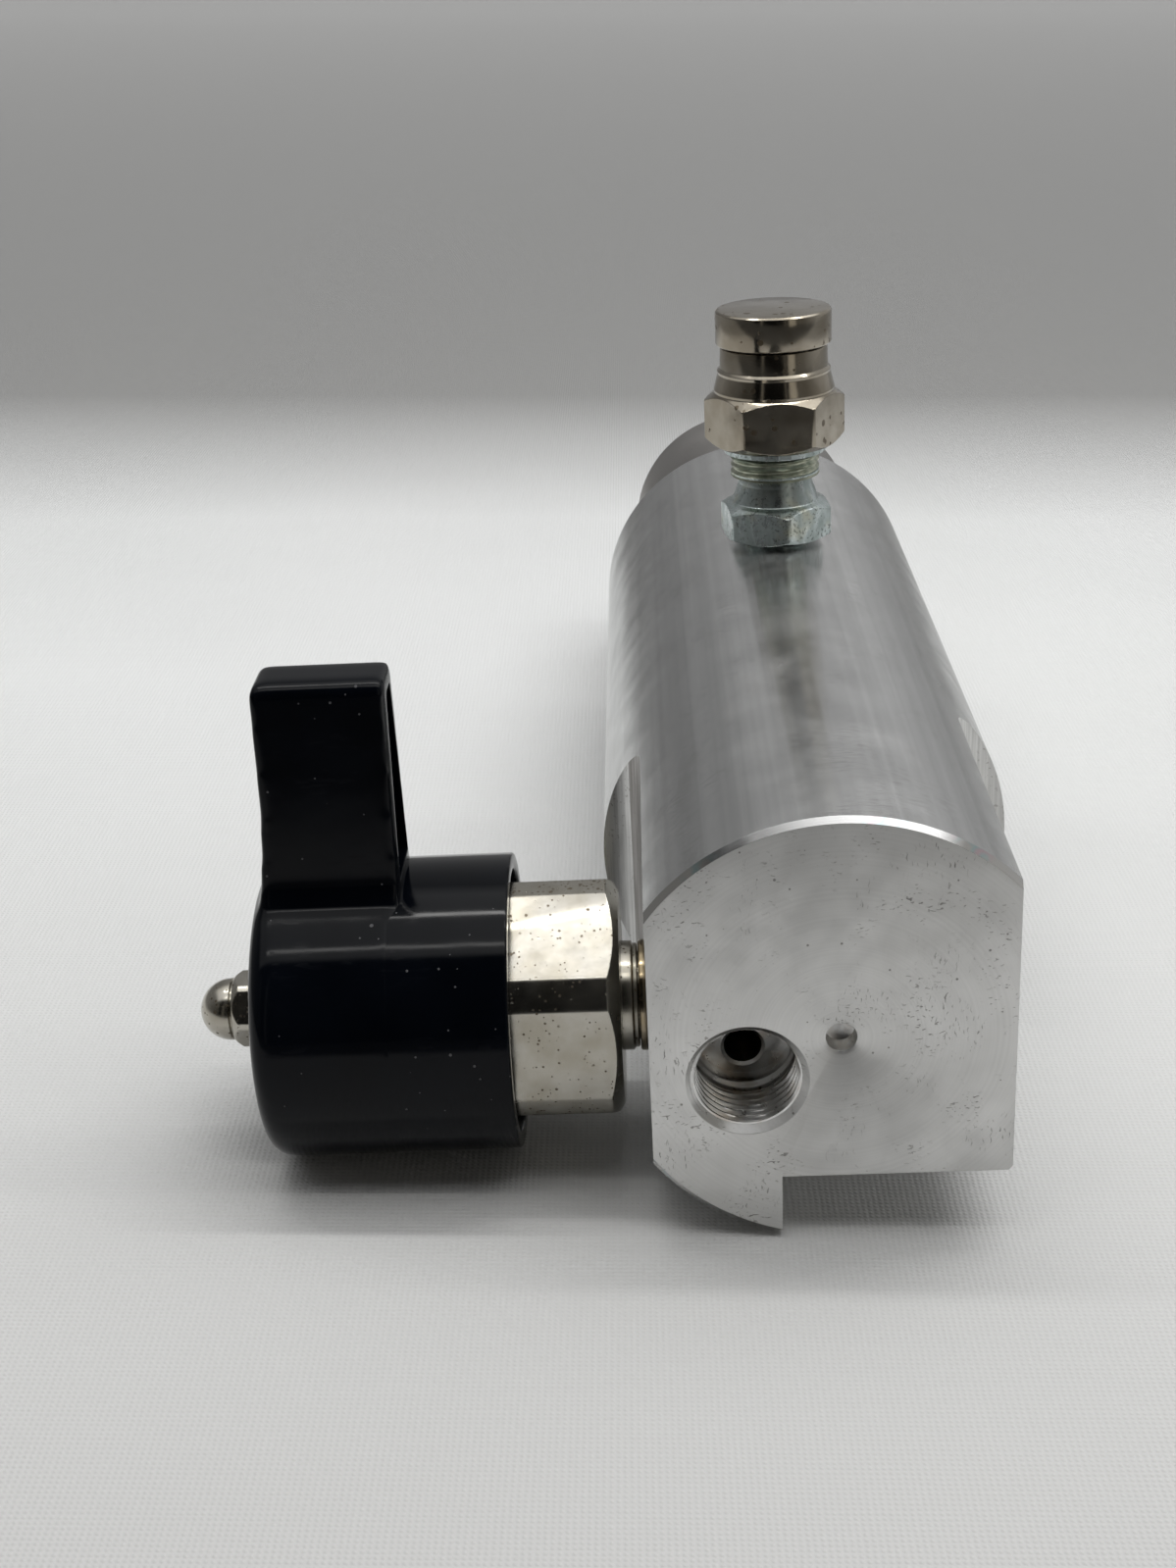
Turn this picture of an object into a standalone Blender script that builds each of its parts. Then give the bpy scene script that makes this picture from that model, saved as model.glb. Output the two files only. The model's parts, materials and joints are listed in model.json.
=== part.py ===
"""Pneumatic cylinder with a rotary valve handle on its side and a push-button vent on top.

All lengths are in metres. The design coordinates start at the centre of the front face:
+Y runs along the bore away from the front face, +X is the side without the handle, +Z is up.
One empty carries them, so that the finished object stands on Z = 0 with its box centred on the origin.
Turned pieces are drawn as half-sections of (radius, height) points about the local Z axis of an empty.
"""

import math

import bmesh
import bpy

# Body: two-inch bar, six inches long
BODY_RADIUS = 0.0254
BODY_LENGTH = 0.1516
BODY_CHAMFER = 0.0006
BORE_RADIUS = 0.01905
RESERVOIR_RADIUS = 0.0170
RESERVOIR_FLOOR = 0.0580
BORE_SHOULDER = 0.1030
LEFT_FLAT = 0.0203
LEFT_FLAT_END = 0.0415
RIGHT_FLAT = 0.0184
RIGHT_FLAT_END = 0.0439
MILL_RADIUS = 0.0060
NOTCH_SIDE = -0.0064
NOTCH_HEIGHT = -0.0171
NOTCH_END = 0.0440
CENTRE_HOLE_RADIUS = 0.0016
CENTRE_HOLE_DEPTH = 0.0028

# Inlet port in the front face and the passages behind it
PORT_X = -0.00995
PORT_Z = -0.0049
PORT_MOUTH_RADIUS = 0.0066
PORT_THREAD_RADIUS = 0.00575
PORT_FLOOR_RADIUS = 0.00545
PORT_CHAMFER = 0.0008
PORT_DEPTH = 0.0105
PASSAGE_RADIUS = 0.0021
INLET_PASSAGE_DROP = 0.0020

# Valve: its axis leaves the left flat at a right angle
VALVE_Y = 0.0207
VALVE_Z = -0.0056
VALVE_BORE_RADIUS = 0.0052
VALVE_BORE_DEPTH = 0.0165
NECK_RADIUS = 0.0063
HEX_START = 0.0030
HEX_END = 0.0237
BONNET_FLATS = 0.0263
BONNET_CORNERS = 0.02850
STEM_RADIUS = 0.0030
STEM_BORE_RADIUS = 0.0032
PLUG_RADIUS = 0.0049

# Handle: a drum with an open skirt and a hollow wing
DRUM_RADIUS = 0.01707
SKIRT_INNER_RADIUS = 0.0151
SKIRT_RIM = 0.0150
SKIRT_END = 0.0286
DRUM_END = 0.0443
DRUM_CORNER = 0.0030
HUB_RADIUS = 0.0062
HANDLE_CAVITY_END = 0.0400
WING_START = 0.0269
WING_TIP_END = 0.0413
WING_REACH = 0.0410
WING_ROOT_HALF = 0.0064
WING_TIP_HALF = 0.0040
WING_WALL = 0.0020
WING_FILLET = 0.0045

# Vent fitting on top of the body
VENT_Y = 0.0970
VENT_HOLE_RADIUS = 0.0049
ADAPTER_BOTTOM = 0.0176
ADAPTER_HEX_BOTTOM = 0.0260
ADAPTER_HEX_TOP = 0.0310
ADAPTER_NECK_TOP = 0.0347
ADAPTER_FLATS = 0.0143
ADAPTER_TURN = math.radians(8)
VENT_HEX_BOTTOM = 0.0394
VENT_HEX_TOP = 0.0468
VENT_FLATS = 0.0171
VENT_BARREL_STEP = 0.0501
BUTTON_BOTTOM = 0.0534
BUTTON_TOP = 0.0581
BUTTON_RADIUS = 0.0080

# Piston, rod and gland
PISTON_START = 0.1056
PISTON_END = 0.1196
PISTON_RADIUS = 0.0189
SEAL_OUTER_RADIUS = 0.01897
ROD_RADIUS = 0.0060
ROD_END = 0.2180
GLAND_SPIGOT_START = 0.1401
GLAND_START = 0.1519
GLAND_END = 0.1954
GLAND_RADIUS = 0.0202
SPRING_POCKET_RADIUS = 0.0135
SPRING_POCKET_END = 0.1760

BUTTON_STROKE = 0.0028
CAP_NUT_TIP = 0.0520
GAP = 0.0003

# How many flat sides stand for a circle
SIDES_BODY = 48
SIDES_LARGE = 32
SIDES_SMALL = 24
SIDES_HOLE = 16

# Euler angles that turn an empty's local Z onto +Y, and onto -X
TOWARDS_Y = (-math.pi / 2, 0.0, 0.0)
TOWARDS_MINUS_X = (0.0, -math.pi / 2, 0.0)


# ---------------------------------------------------------------- scene and materials


def clear_scene():
    for existing in list(bpy.data.objects):
        bpy.data.objects.remove(existing, do_unlink=True)


def principled(name, colour, roughness, metallic):
    material = bpy.data.materials.new(name)
    material.use_nodes = True
    shader = material.node_tree.nodes["Principled BSDF"]
    shader.inputs["Base Color"].default_value = (*colour, 1.0)
    shader.inputs["Roughness"].default_value = roughness
    shader.inputs["Metallic"].default_value = metallic
    material.diffuse_color = (*colour, 1.0)
    return material


def make_materials():
    return {
        "machined_aluminium": principled("machined_aluminium", (0.62, 0.62, 0.60), 0.38, 1.0),
        "dark_aluminium": principled("dark_aluminium", (0.36, 0.34, 0.32), 0.42, 1.0),
        "nickel_plate": principled("nickel_plate", (0.66, 0.62, 0.55), 0.22, 1.0),
        "zinc_plate": principled("zinc_plate", (0.52, 0.57, 0.56), 0.34, 1.0),
        "ground_steel": principled("ground_steel", (0.70, 0.70, 0.71), 0.15, 1.0),
        "spring_steel": principled("spring_steel", (0.42, 0.42, 0.43), 0.32, 1.0),
        "brass": principled("brass", (0.78, 0.56, 0.22), 0.28, 1.0),
        "bronze": principled("bronze", (0.55, 0.36, 0.18), 0.40, 1.0),
        "black_plastic": principled("black_plastic", (0.012, 0.014, 0.020), 0.18, 0.0),
        "seal_rubber": principled("seal_rubber", (0.02, 0.02, 0.02), 0.60, 0.0),
        "seal_polymer": principled("seal_polymer", (0.80, 0.79, 0.74), 0.50, 0.0),
    }


# ---------------------------------------------------------------- modelling helpers


def empty(name, parent, location, rotation=(0.0, 0.0, 0.0)):
    axis = bpy.data.objects.new(name, None)
    bpy.context.scene.collection.objects.link(axis)
    axis.parent = parent
    axis.location = location
    axis.rotation_euler = rotation
    return axis


def object_from(bm, name, axis, material=None, smooth=True):
    mesh = bpy.data.meshes.new(name)
    bmesh.ops.recalc_face_normals(bm, faces=bm.faces)
    bm.to_mesh(mesh)
    bm.free()
    made = bpy.data.objects.new(name, mesh)
    bpy.context.scene.collection.objects.link(made)
    made.parent = axis
    if material:
        mesh.materials.append(material)
    if smooth:
        mesh.shade_smooth()
        mesh.set_sharp_from_angle(angle=math.radians(30))
    return made


def turned(name, section, axis, material=None, sides=SIDES_LARGE):
    """A closed half-section of (radius, height) points, spun once about the local Z axis."""
    bm = bmesh.new()
    points = [bm.verts.new((radius, 0.0, height)) for radius, height in section]
    edges = [bm.edges.new(pair) for pair in zip(points, points[1:])]
    is_solid_core = section[0][0] == 0.0 and section[-1][0] == 0.0
    if not is_solid_core:
        edges.append(bm.edges.new((points[-1], points[0])))
    bmesh.ops.spin(
        bm,
        geom=points + edges,
        cent=(0.0, 0.0, 0.0),
        axis=(0.0, 0.0, 1.0),
        angle=2 * math.pi,
        steps=sides,
        use_merge=True,
    )
    bmesh.ops.remove_doubles(bm, verts=bm.verts, dist=1e-7)
    return object_from(bm, name, axis, material)


def prism(name, outline, bottom, top, axis, material=None):
    """A closed (x, y) outline extruded along the local Z axis from bottom to top."""
    bm = bmesh.new()
    corners = [bm.verts.new((x, y, bottom)) for x, y in outline]
    face = bm.faces.new(corners)
    grown = bmesh.ops.extrude_face_region(bm, geom=[face])
    lifted = [item for item in grown["geom"] if isinstance(item, bmesh.types.BMVert)]
    bmesh.ops.translate(bm, verts=lifted, vec=(0.0, 0.0, top - bottom))
    return object_from(bm, name, axis, material)


def rod_shape(name, radius, bottom, top, axis, sides=SIDES_SMALL):
    return turned(name, [(0.0, bottom), (radius, bottom), (radius, top), (0.0, top)], axis, sides=sides)


def ring(name, inner, outer, bottom, top, axis, material, sides=SIDES_LARGE):
    section = [(inner, bottom), (outer, bottom), (outer, top), (inner, top)]
    return turned(name, section, axis, material, sides)


def round_ring(name, inner, outer, middle, axis, material, sides=SIDES_HOLE):
    """An O-ring, with a six-sided cross-section, whose middle lies at the given height."""
    cord = (outer - inner) / 2
    centre = (outer + inner) / 2
    angles = [math.radians(60 * step) for step in range(6)]
    section = [(centre + cord * math.cos(a), middle + cord * math.sin(a)) for a in angles]
    return turned(name, section, axis, material, sides)


def hexagon(flats, turn=0.0):
    corner = flats / math.sqrt(3)
    angles = [turn + math.radians(60 * step) for step in range(6)]
    return [(corner * math.cos(a), corner * math.sin(a)) for a in angles]


def arc(centre, radius, start, end, steps):
    """Points on a circle from the start angle to the end angle, in degrees."""
    angles = [math.radians(start + (end - start) * step / steps) for step in range(steps + 1)]
    return [(centre[0] + radius * math.cos(a), centre[1] + radius * math.sin(a)) for a in angles]


def coil(name, mean_radius, wire_radius, bottom, top, turns, axis, material, roundness):
    """A helical spring whose wire starts and ends a wire radius inside its two end heights."""
    points_per_turn = 12
    curve = bpy.data.curves.new(name, "CURVE")
    curve.dimensions = "3D"
    curve.bevel_depth = wire_radius
    curve.bevel_resolution = roundness
    curve.use_fill_caps = True
    count = int(turns * points_per_turn) + 1
    spline = curve.splines.new("POLY")
    spline.points.add(count - 1)
    low = bottom + wire_radius
    high = top - wire_radius
    for index, point in enumerate(spline.points):
        share = index / (count - 1)
        angle = 2 * math.pi * turns * share
        height = low + (high - low) * share
        point.co = (mean_radius * math.cos(angle), mean_radius * math.sin(angle), height, 1.0)
    curve.materials.append(material)
    made = bpy.data.objects.new(name, curve)
    bpy.context.scene.collection.objects.link(made)
    made.parent = axis
    return made


def combine(target, operation, others):
    """Boolean modifiers on the target; the other shapes stay as hidden helpers."""
    for other in others:
        modifier = target.modifiers.new(f"{operation.lower()}_{other.name}", "BOOLEAN")
        modifier.operation = operation
        modifier.solver = "EXACT"
        modifier.object = other
        other.hide_render = True
        other.display_type = "WIRE"
    return target


def cut(target, *cutters):
    return combine(target, "DIFFERENCE", cutters)


def join(target, *others):
    return combine(target, "UNION", others)


def keep_common(target, *others):
    return combine(target, "INTERSECT", others)


# ---------------------------------------------------------------- body


def side_flat_cutter(name, side, flat, end, frame):
    """Removes one side down to its flat, ending in the quarter-round that the end mill leaves."""
    outside = BODY_RADIUS + 0.004
    run_out = arc((flat + MILL_RADIUS, end), MILL_RADIUS, 180, 90, 6)
    outline = [(flat, -0.002), *run_out, (outside, end + MILL_RADIUS), (outside, -0.002)]
    outline = [(side * x, y) for x, y in outline]
    return prism(name, outline, -0.03, 0.03, frame)


def notch_cutter(frame):
    outside = BODY_RADIUS + 0.004
    corner = arc((NOTCH_SIDE + MILL_RADIUS, NOTCH_END - MILL_RADIUS), MILL_RADIUS, 180, 90, 6)
    outline = [(NOTCH_SIDE, -0.002), *corner, (outside, NOTCH_END), (outside, -0.002)]
    return prism("cutter_notch", outline, -0.03, NOTCH_HEIGHT, frame)


def port_cutter(port_axis):
    section = [
        (0.0, -0.001),
        (PORT_MOUTH_RADIUS + 0.001, -0.001),
        (PORT_MOUTH_RADIUS, 0.0),
        (PORT_THREAD_RADIUS, PORT_CHAMFER),
        (PORT_FLOOR_RADIUS, PORT_DEPTH),
        (0.0, PORT_DEPTH),
    ]
    return turned("cutter_port", section, port_axis, sides=SIDES_LARGE)


def build_body(axes, materials):
    bore_axis = axes["bore"]
    chamfer = BODY_CHAMFER
    section = [
        (0.0, 0.0),
        (BODY_RADIUS - chamfer, 0.0),
        (BODY_RADIUS, chamfer),
        (BODY_RADIUS, BODY_LENGTH - chamfer),
        (BODY_RADIUS - chamfer, BODY_LENGTH),
        (BORE_RADIUS + chamfer, BODY_LENGTH),
        (BORE_RADIUS, BODY_LENGTH - chamfer),
        (BORE_RADIUS, BORE_SHOULDER),
        (RESERVOIR_RADIUS, BORE_SHOULDER),
        (RESERVOIR_RADIUS, RESERVOIR_FLOOR + 0.001),
        (RESERVOIR_RADIUS - 0.001, RESERVOIR_FLOOR),
        (0.0, RESERVOIR_FLOOR),
    ]
    body = turned("cylinder_body", section, bore_axis, materials["machined_aluminium"], SIDES_BODY)
    drill_point = [(0.0, -0.0005), (CENTRE_HOLE_RADIUS + 0.0003, -0.0005), (0.0, CENTRE_HOLE_DEPTH)]
    inlet_height = PORT_Z - INLET_PASSAGE_DROP
    transfer_end = RESERVOIR_FLOOR + 0.002
    inlet_axis = empty("inlet_passage_axis", axes["frame"], (PORT_X, 0.0, inlet_height), TOWARDS_Y)
    transfer_axis = empty("transfer_passage_axis", axes["frame"], (PORT_X, 0.0, VALVE_Z), TOWARDS_Y)
    cut(
        body,
        side_flat_cutter("cutter_left_flat", -1, LEFT_FLAT, LEFT_FLAT_END, axes["frame"]),
        side_flat_cutter("cutter_right_flat", 1, RIGHT_FLAT, RIGHT_FLAT_END, axes["frame"]),
        notch_cutter(axes["frame"]),
        turned("cutter_centre_hole", drill_point, bore_axis, sides=SIDES_SMALL),
        port_cutter(axes["port"]),
        rod_shape("cutter_inlet_passage", PASSAGE_RADIUS, 0.009, VALVE_Y, inlet_axis, SIDES_HOLE),
        rod_shape("cutter_valve_bore", VALVE_BORE_RADIUS, -VALVE_BORE_DEPTH, 0.004, axes["valve"]),
        rod_shape("cutter_transfer", PASSAGE_RADIUS, VALVE_Y, transfer_end, transfer_axis, SIDES_HOLE),
        rod_shape("cutter_vent_hole", VENT_HOLE_RADIUS, 0.010, 0.030, axes["vent"]),
    )
    return body


# ---------------------------------------------------------------- gland at the rod end


def build_gland(axes, materials):
    axis = axes["bore"]
    spigot = BORE_RADIUS - 0.00015
    section = [
        (SPRING_POCKET_RADIUS, GLAND_SPIGOT_START),
        (spigot - 0.0006, GLAND_SPIGOT_START),
        (spigot, GLAND_SPIGOT_START + 0.0006),
        (spigot, 0.1430),
        (0.0172, 0.1430),
        (0.0172, 0.1454),
        (spigot, 0.1454),
        (spigot, GLAND_START),
        (GLAND_RADIUS - 0.0004, GLAND_START),
        (GLAND_RADIUS, GLAND_START + 0.0004),
        (GLAND_RADIUS, GLAND_END - 0.0010),
        (GLAND_RADIUS - 0.0010, GLAND_END),
        (0.0092, GLAND_END),
        (0.0092, 0.1900),
        (0.0066, 0.1900),
        (0.0066, 0.1880),
        (0.0092, 0.1880),
        (0.0092, SPRING_POCKET_END),
        (SPRING_POCKET_RADIUS, SPRING_POCKET_END),
    ]
    gland = turned("rod_end_gland", section, axis, materials["dark_aluminium"])
    holes = []
    for side in (-1, 1):
        place = empty(f"spanner_hole_axis_{side}", axes["frame"], (side * 0.0150, 0.0, 0.0), TOWARDS_Y)
        name = f"cutter_spanner_hole_{side}"
        holes.append(rod_shape(name, 0.0016, GLAND_END - 0.005, GLAND_END + 0.002, place, SIDES_HOLE))
    cut(gland, *holes)
    rubber = materials["seal_rubber"]
    round_ring("gland_seal_ring", 0.0174, SEAL_OUTER_RADIUS, 0.1442, axis, rubber, SIDES_SMALL)
    ring("rod_bushing", ROD_RADIUS + 0.0001, 0.0090, 0.1764, 0.1877, axis, materials["bronze"], SIDES_SMALL)
    ring("rod_seal", ROD_RADIUS + 0.0001, 0.0090, 0.1903, 0.1924, axis, rubber, SIDES_SMALL)
    lip = [
        (ROD_RADIUS + 0.0001, 0.1928),
        (0.0090, 0.1928),
        (0.0090, 0.1953),
        (0.0076, 0.1956),
        (ROD_RADIUS + 0.0001, 0.1968),
    ]
    turned("rod_wiper", lip, axis, materials["seal_polymer"], SIDES_SMALL)
    ring("front_bumper", 0.0140, 0.0187, BORE_SHOULDER + GAP, 0.1053, axis, rubber)


# ---------------------------------------------------------------- piston and rod


def ring_groove(depth_radius, start, end):
    return [(PISTON_RADIUS, start), (depth_radius, start), (depth_radius, end), (PISTON_RADIUS, end)]


def build_piston(axes, materials):
    axis = axes["bore"]
    stud = 0.0040
    section = [(stud + 0.0001, PISTON_START), (PISTON_RADIUS - 0.0005, PISTON_START)]
    section += [(PISTON_RADIUS, PISTON_START + 0.0005)]
    section += ring_groove(0.0168, 0.1071, 0.1093)
    section += ring_groove(0.0176, 0.1110, 0.1142)
    section += ring_groove(0.0168, 0.1159, 0.1181)
    section += [(PISTON_RADIUS, PISTON_END - 0.0005), (PISTON_RADIUS - 0.0005, PISTON_END)]
    section += [(stud + 0.0001, PISTON_END)]
    turned("piston", section, axis, materials["machined_aluminium"], SIDES_SMALL)
    outer = SEAL_OUTER_RADIUS
    ring("piston_seal_front", 0.0170, outer, 0.1073, 0.1091, axis, materials["seal_rubber"])
    ring("piston_wear_ring", 0.0178, outer, 0.1112, 0.1140, axis, materials["seal_polymer"])
    ring("piston_seal_rear", 0.0170, outer, 0.1161, 0.1179, axis, materials["seal_rubber"])
    rod = [
        (0.0, 0.0966),
        (stud - 0.0006, 0.0966),
        (stud, 0.0972),
        (stud, PISTON_END + GAP),
        (ROD_RADIUS, PISTON_END + GAP),
        (ROD_RADIUS, 0.2025),
        (0.0049, 0.2035),
        (0.0049, ROD_END - 0.0008),
        (0.0041, ROD_END),
        (0.0, ROD_END),
    ]
    turned("piston_rod", rod, axis, materials["ground_steel"], SIDES_SMALL)
    build_nut("piston_nut", 0.0130, stud + 0.0001, 0.0989, 0.1053, axis, materials["spring_steel"])
    build_nut("rod_end_nut", 0.0170, 0.0050, 0.2039, 0.2099, axis, materials["nickel_plate"])
    coil("return_spring", 0.0105, 0.0011, 0.1201, 0.1757, 6, axis, materials["spring_steel"], 1)


def build_nut(name, flats, hole, bottom, top, axis, material):
    """A hexagon nut whose corners are turned off at both ends."""
    corner = flats / math.sqrt(3)
    slope = (corner - flats / 2) * 0.7
    envelope = [
        (0.0, bottom),
        (flats / 2, bottom),
        (corner + 0.0002, bottom + slope),
        (corner + 0.0002, top - slope),
        (flats / 2, top),
        (0.0, top),
    ]
    nut = prism(name, hexagon(flats), bottom - 0.001, top + 0.001, axis, material)
    keep_common(nut, turned(f"envelope_{name}", envelope, axis, sides=SIDES_SMALL))
    cut(nut, rod_shape(f"cutter_{name}_hole", hole, bottom - 0.002, top + 0.002, axis))
    return nut


# ---------------------------------------------------------------- valve and handle


def build_bonnet(axes, materials):
    axis = axes["valve"]
    flats = BONNET_FLATS
    outer = BONNET_CORNERS / 2
    envelope = [
        (0.0, -0.0038),
        (0.00505, -0.0038),
        (0.00505, 0.0011),
        (NECK_RADIUS, 0.0011),
        (NECK_RADIUS, HEX_START),
        (flats / 2 - 0.0008, HEX_START),
        (outer, HEX_START + 0.0012),
        (outer, HEX_END - 0.0010),
        (flats / 2 - 0.0006, HEX_END),
        (0.0, HEX_END),
    ]
    bonnet = prism("valve_bonnet", hexagon(flats), -0.006, 0.026, axis, materials["nickel_plate"])
    keep_common(bonnet, turned("envelope_bonnet", envelope, axis, sides=36))
    bore = [
        (0.0, -0.006),
        (STEM_BORE_RADIUS, -0.006),
        (STEM_BORE_RADIUS, 0.0056),
        (0.00405, 0.0056),
        (0.00405, 0.0074),
        (STEM_BORE_RADIUS, 0.0074),
        (STEM_BORE_RADIUS, 0.0116),
        (0.00405, 0.0116),
        (0.00405, 0.0134),
        (STEM_BORE_RADIUS, 0.0134),
        (STEM_BORE_RADIUS, 0.0197),
        (0.0050, 0.0197),
        (0.0050, 0.0260),
        (0.0, 0.0260),
    ]
    cut(bonnet, turned("cutter_bonnet_bore", bore, axis, sides=SIDES_SMALL))
    ring("valve_seal_ring", 0.0052, 0.00635, 0.00015, 0.00095, axis, materials["brass"])
    round_ring("stem_seal_inner", 0.00310, 0.00395, 0.0065, axis, materials["seal_rubber"])
    round_ring("stem_seal_outer", 0.00310, 0.00395, 0.0125, axis, materials["seal_rubber"])
    ring("stem_packing", 0.00312, 0.0048, 0.0200, 0.0234, axis, materials["seal_polymer"], SIDES_SMALL)


def build_stem(axes, materials):
    axis = axes["valve"]
    section = [
        (0.0, -0.0042),
        (STEM_RADIUS, -0.0042),
        (STEM_RADIUS, 0.0250),
        (0.0024, 0.0250),
        (0.0024, 0.0260),
        (STEM_RADIUS, 0.0260),
        (STEM_RADIUS, 0.0400),
        (0.00245, 0.0405),
        (0.00245, 0.0490),
        (0.0019, 0.0496),
        (0.0, 0.0496),
    ]
    stem = turned("valve_stem", section, axis, materials["ground_steel"], SIDES_SMALL)
    half = 0.0009
    blade = [(-0.0026, -half), (0.0026, -half), (0.0026, half), (-0.0026, half)]
    join(stem, prism("stem_blade", blade, -0.0062, -0.0038, axis))

    plug = rod_shape("valve_plug", PLUG_RADIUS, -0.0160, -0.0045, axis)
    plug.data.materials.append(materials["brass"])
    wide = half + GAP
    slot = [(-0.0052, -wide), (0.0052, -wide), (0.0052, wide), (-0.0052, wide)]
    hole_axis = empty("plug_hole_axis", axis, (0.0, 0.0, -(LEFT_FLAT + PORT_X)), (0.0, math.pi / 2, 0.0))
    cut(
        plug,
        prism("cutter_plug_slot", slot, -0.0066, -0.0030, axis),
        rod_shape("cutter_plug_hole", PASSAGE_RADIUS - 0.0002, -0.008, 0.008, hole_axis, SIDES_HOLE),
    )

    ring("stem_washer", 0.0032, 0.0062, 0.0240, 0.0246, axis, materials["spring_steel"], SIDES_SMALL)
    clip_outline = arc((0.0, 0.0), 0.0052, 30, 330, 20) + arc((0.0, 0.0), 0.0026, 330, 30, 16)
    clip = prism("stem_retaining_clip", clip_outline, 0.0252, 0.0258, axis, materials["spring_steel"])
    return stem, plug, clip


def wing_outline(root_half, tip_half, reach, corner):
    """The wing seen along the valve axis: local x is up, local y runs along the cylinder."""
    low = 0.0030
    return [
        (low, -root_half),
        *arc((reach - corner, -tip_half + corner), corner, -90, 0, 4),
        *arc((reach - corner, tip_half - corner), corner, 0, 90, 4),
        (low, root_half),
    ]


def filleted_wing_outline():
    """The wing's outline with a hollow curve on both sides, where it grows out of the drum."""
    outline = wing_outline(WING_ROOT_HALF, WING_TIP_HALF, WING_REACH, 0.0022)
    inside = DRUM_RADIUS - 0.0002
    away = WING_ROOT_HALF - 0.0010 + WING_FILLET
    up = math.sqrt((inside + WING_FILLET) ** 2 - away**2)
    start = 180 - math.degrees(math.atan2(away, up))
    curve = arc((up, -away), WING_FILLET, start, 94, 3)
    mirrored = [(x, -y) for x, y in reversed(curve)]
    return [outline[0], *curve, *outline[1:-1], *mirrored, outline[-1]]


def wing_side_outline(inset):
    """The wing seen along the cylinder, as (up, outwards), with its outer face sweeping into the drum."""
    reach = WING_REACH - inset
    start = 0.020 if inset else WING_START
    outer_face = [(0.0, 0.0439), (0.0060, 0.0439), (0.0120, 0.0431), (0.0170, 0.0424), (0.0220, 0.0418)]
    outer_face += [(0.0270, 0.0415), (reach - 0.0012, WING_TIP_END), (reach, WING_TIP_END - 0.0012)]
    return [(0.0, start), *[(up, out - inset) for up, out in outer_face], (reach, start)]


def wing_block(name, outline, side_outline, axis):
    """The common part of the wing's two outlines."""
    plan = prism(name, outline, 0.018, DRUM_END + 0.001, axis)
    across = empty(f"{name}_side_axis", axis, (0.0, 0.0, 0.0), (math.pi / 2, 0.0, 0.0))
    side = prism(f"{name}_side", side_outline, -0.010, 0.010, across)
    return keep_common(plan, side)


def rounded_edges(shape, width):
    bevel = shape.modifiers.new("rounded_edges", "BEVEL")
    bevel.width = width
    bevel.segments = 2
    bevel.limit_method = "ANGLE"
    bevel.angle_limit = math.radians(50)
    return shape


def build_handle(axes, materials):
    axis = axes["valve"]
    outside = [
        (0.0, SKIRT_RIM),
        (DRUM_RADIUS - 0.0003, SKIRT_RIM),
        (DRUM_RADIUS, SKIRT_RIM + 0.0003),
        *arc((DRUM_RADIUS - DRUM_CORNER, DRUM_END - 0.0039), DRUM_CORNER, 0, 80, 5),
        (0.0120, DRUM_END - 0.0004),
        (0.0060, DRUM_END - 0.0001),
        (0.0, DRUM_END),
    ]
    cavity = [
        (0.0, SKIRT_RIM - 0.002),
        (SKIRT_INNER_RADIUS, SKIRT_RIM - 0.002),
        (SKIRT_INNER_RADIUS, HANDLE_CAVITY_END - 0.0025),
        (SKIRT_INNER_RADIUS - 0.0013, HANDLE_CAVITY_END),
        (HUB_RADIUS, HANDLE_CAVITY_END),
        (HUB_RADIUS, SKIRT_END),
        (0.0, SKIRT_END),
    ]
    handle = turned("lever_handle", outside, axis, materials["black_plastic"], 40)
    wing = wing_block("wing_outside", filleted_wing_outline(), wing_side_outline(0.0), axis)
    rounded_edges(wing, 0.0010)
    inner_reach = WING_REACH - WING_WALL
    inner = wing_outline(WING_ROOT_HALF - WING_WALL, WING_TIP_HALF - WING_WALL, inner_reach, 0.0010)
    inner = [(max(x, DRUM_RADIUS + 0.0007), y) for x, y in inner]
    pocket = wing_block("cutter_wing_pocket", inner, wing_side_outline(WING_WALL), axis)
    join(handle, wing)
    cut(
        handle,
        turned("cutter_handle_cavity", cavity, axis, sides=36),
        pocket,
        rod_shape("cutter_handle_bore", STEM_RADIUS + 0.0002, 0.020, 0.050, axis),
        rod_shape("cutter_nut_recess", 0.0051, 0.0422, 0.050, axis),
    )
    build_cap_nut(axis, materials["nickel_plate"])


def build_cap_nut(axis, material):
    """An acorn nut: a chamfered hexagon and a dome over a blind hole."""
    flats = 0.0080
    bottom = 0.0425
    hex_top = 0.0478
    dome = 0.0036
    corner = flats / math.sqrt(3)
    rounding = [
        (dome * math.cos(math.radians(angle)), CAP_NUT_TIP - dome + dome * math.sin(math.radians(angle)))
        for angle in (0, 22, 45, 67)
    ]
    envelope = [
        (0.0, bottom),
        (corner + 0.0002, bottom),
        (corner + 0.0002, hex_top - 0.0010),
        (dome + 0.0004, hex_top),
        (dome, hex_top + 0.0002),
        *rounding,
        (0.0, CAP_NUT_TIP),
    ]
    nut = prism("handle_cap_nut", hexagon(flats, math.radians(30)), bottom - 0.001, 0.054, axis, material)
    keep_common(nut, turned("envelope_cap_nut", envelope, axis, sides=SIDES_SMALL))
    cut(nut, rod_shape("cutter_cap_nut", 0.0026, bottom - 0.001, 0.0500, axis, SIDES_HOLE))


# ---------------------------------------------------------------- vent


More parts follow.
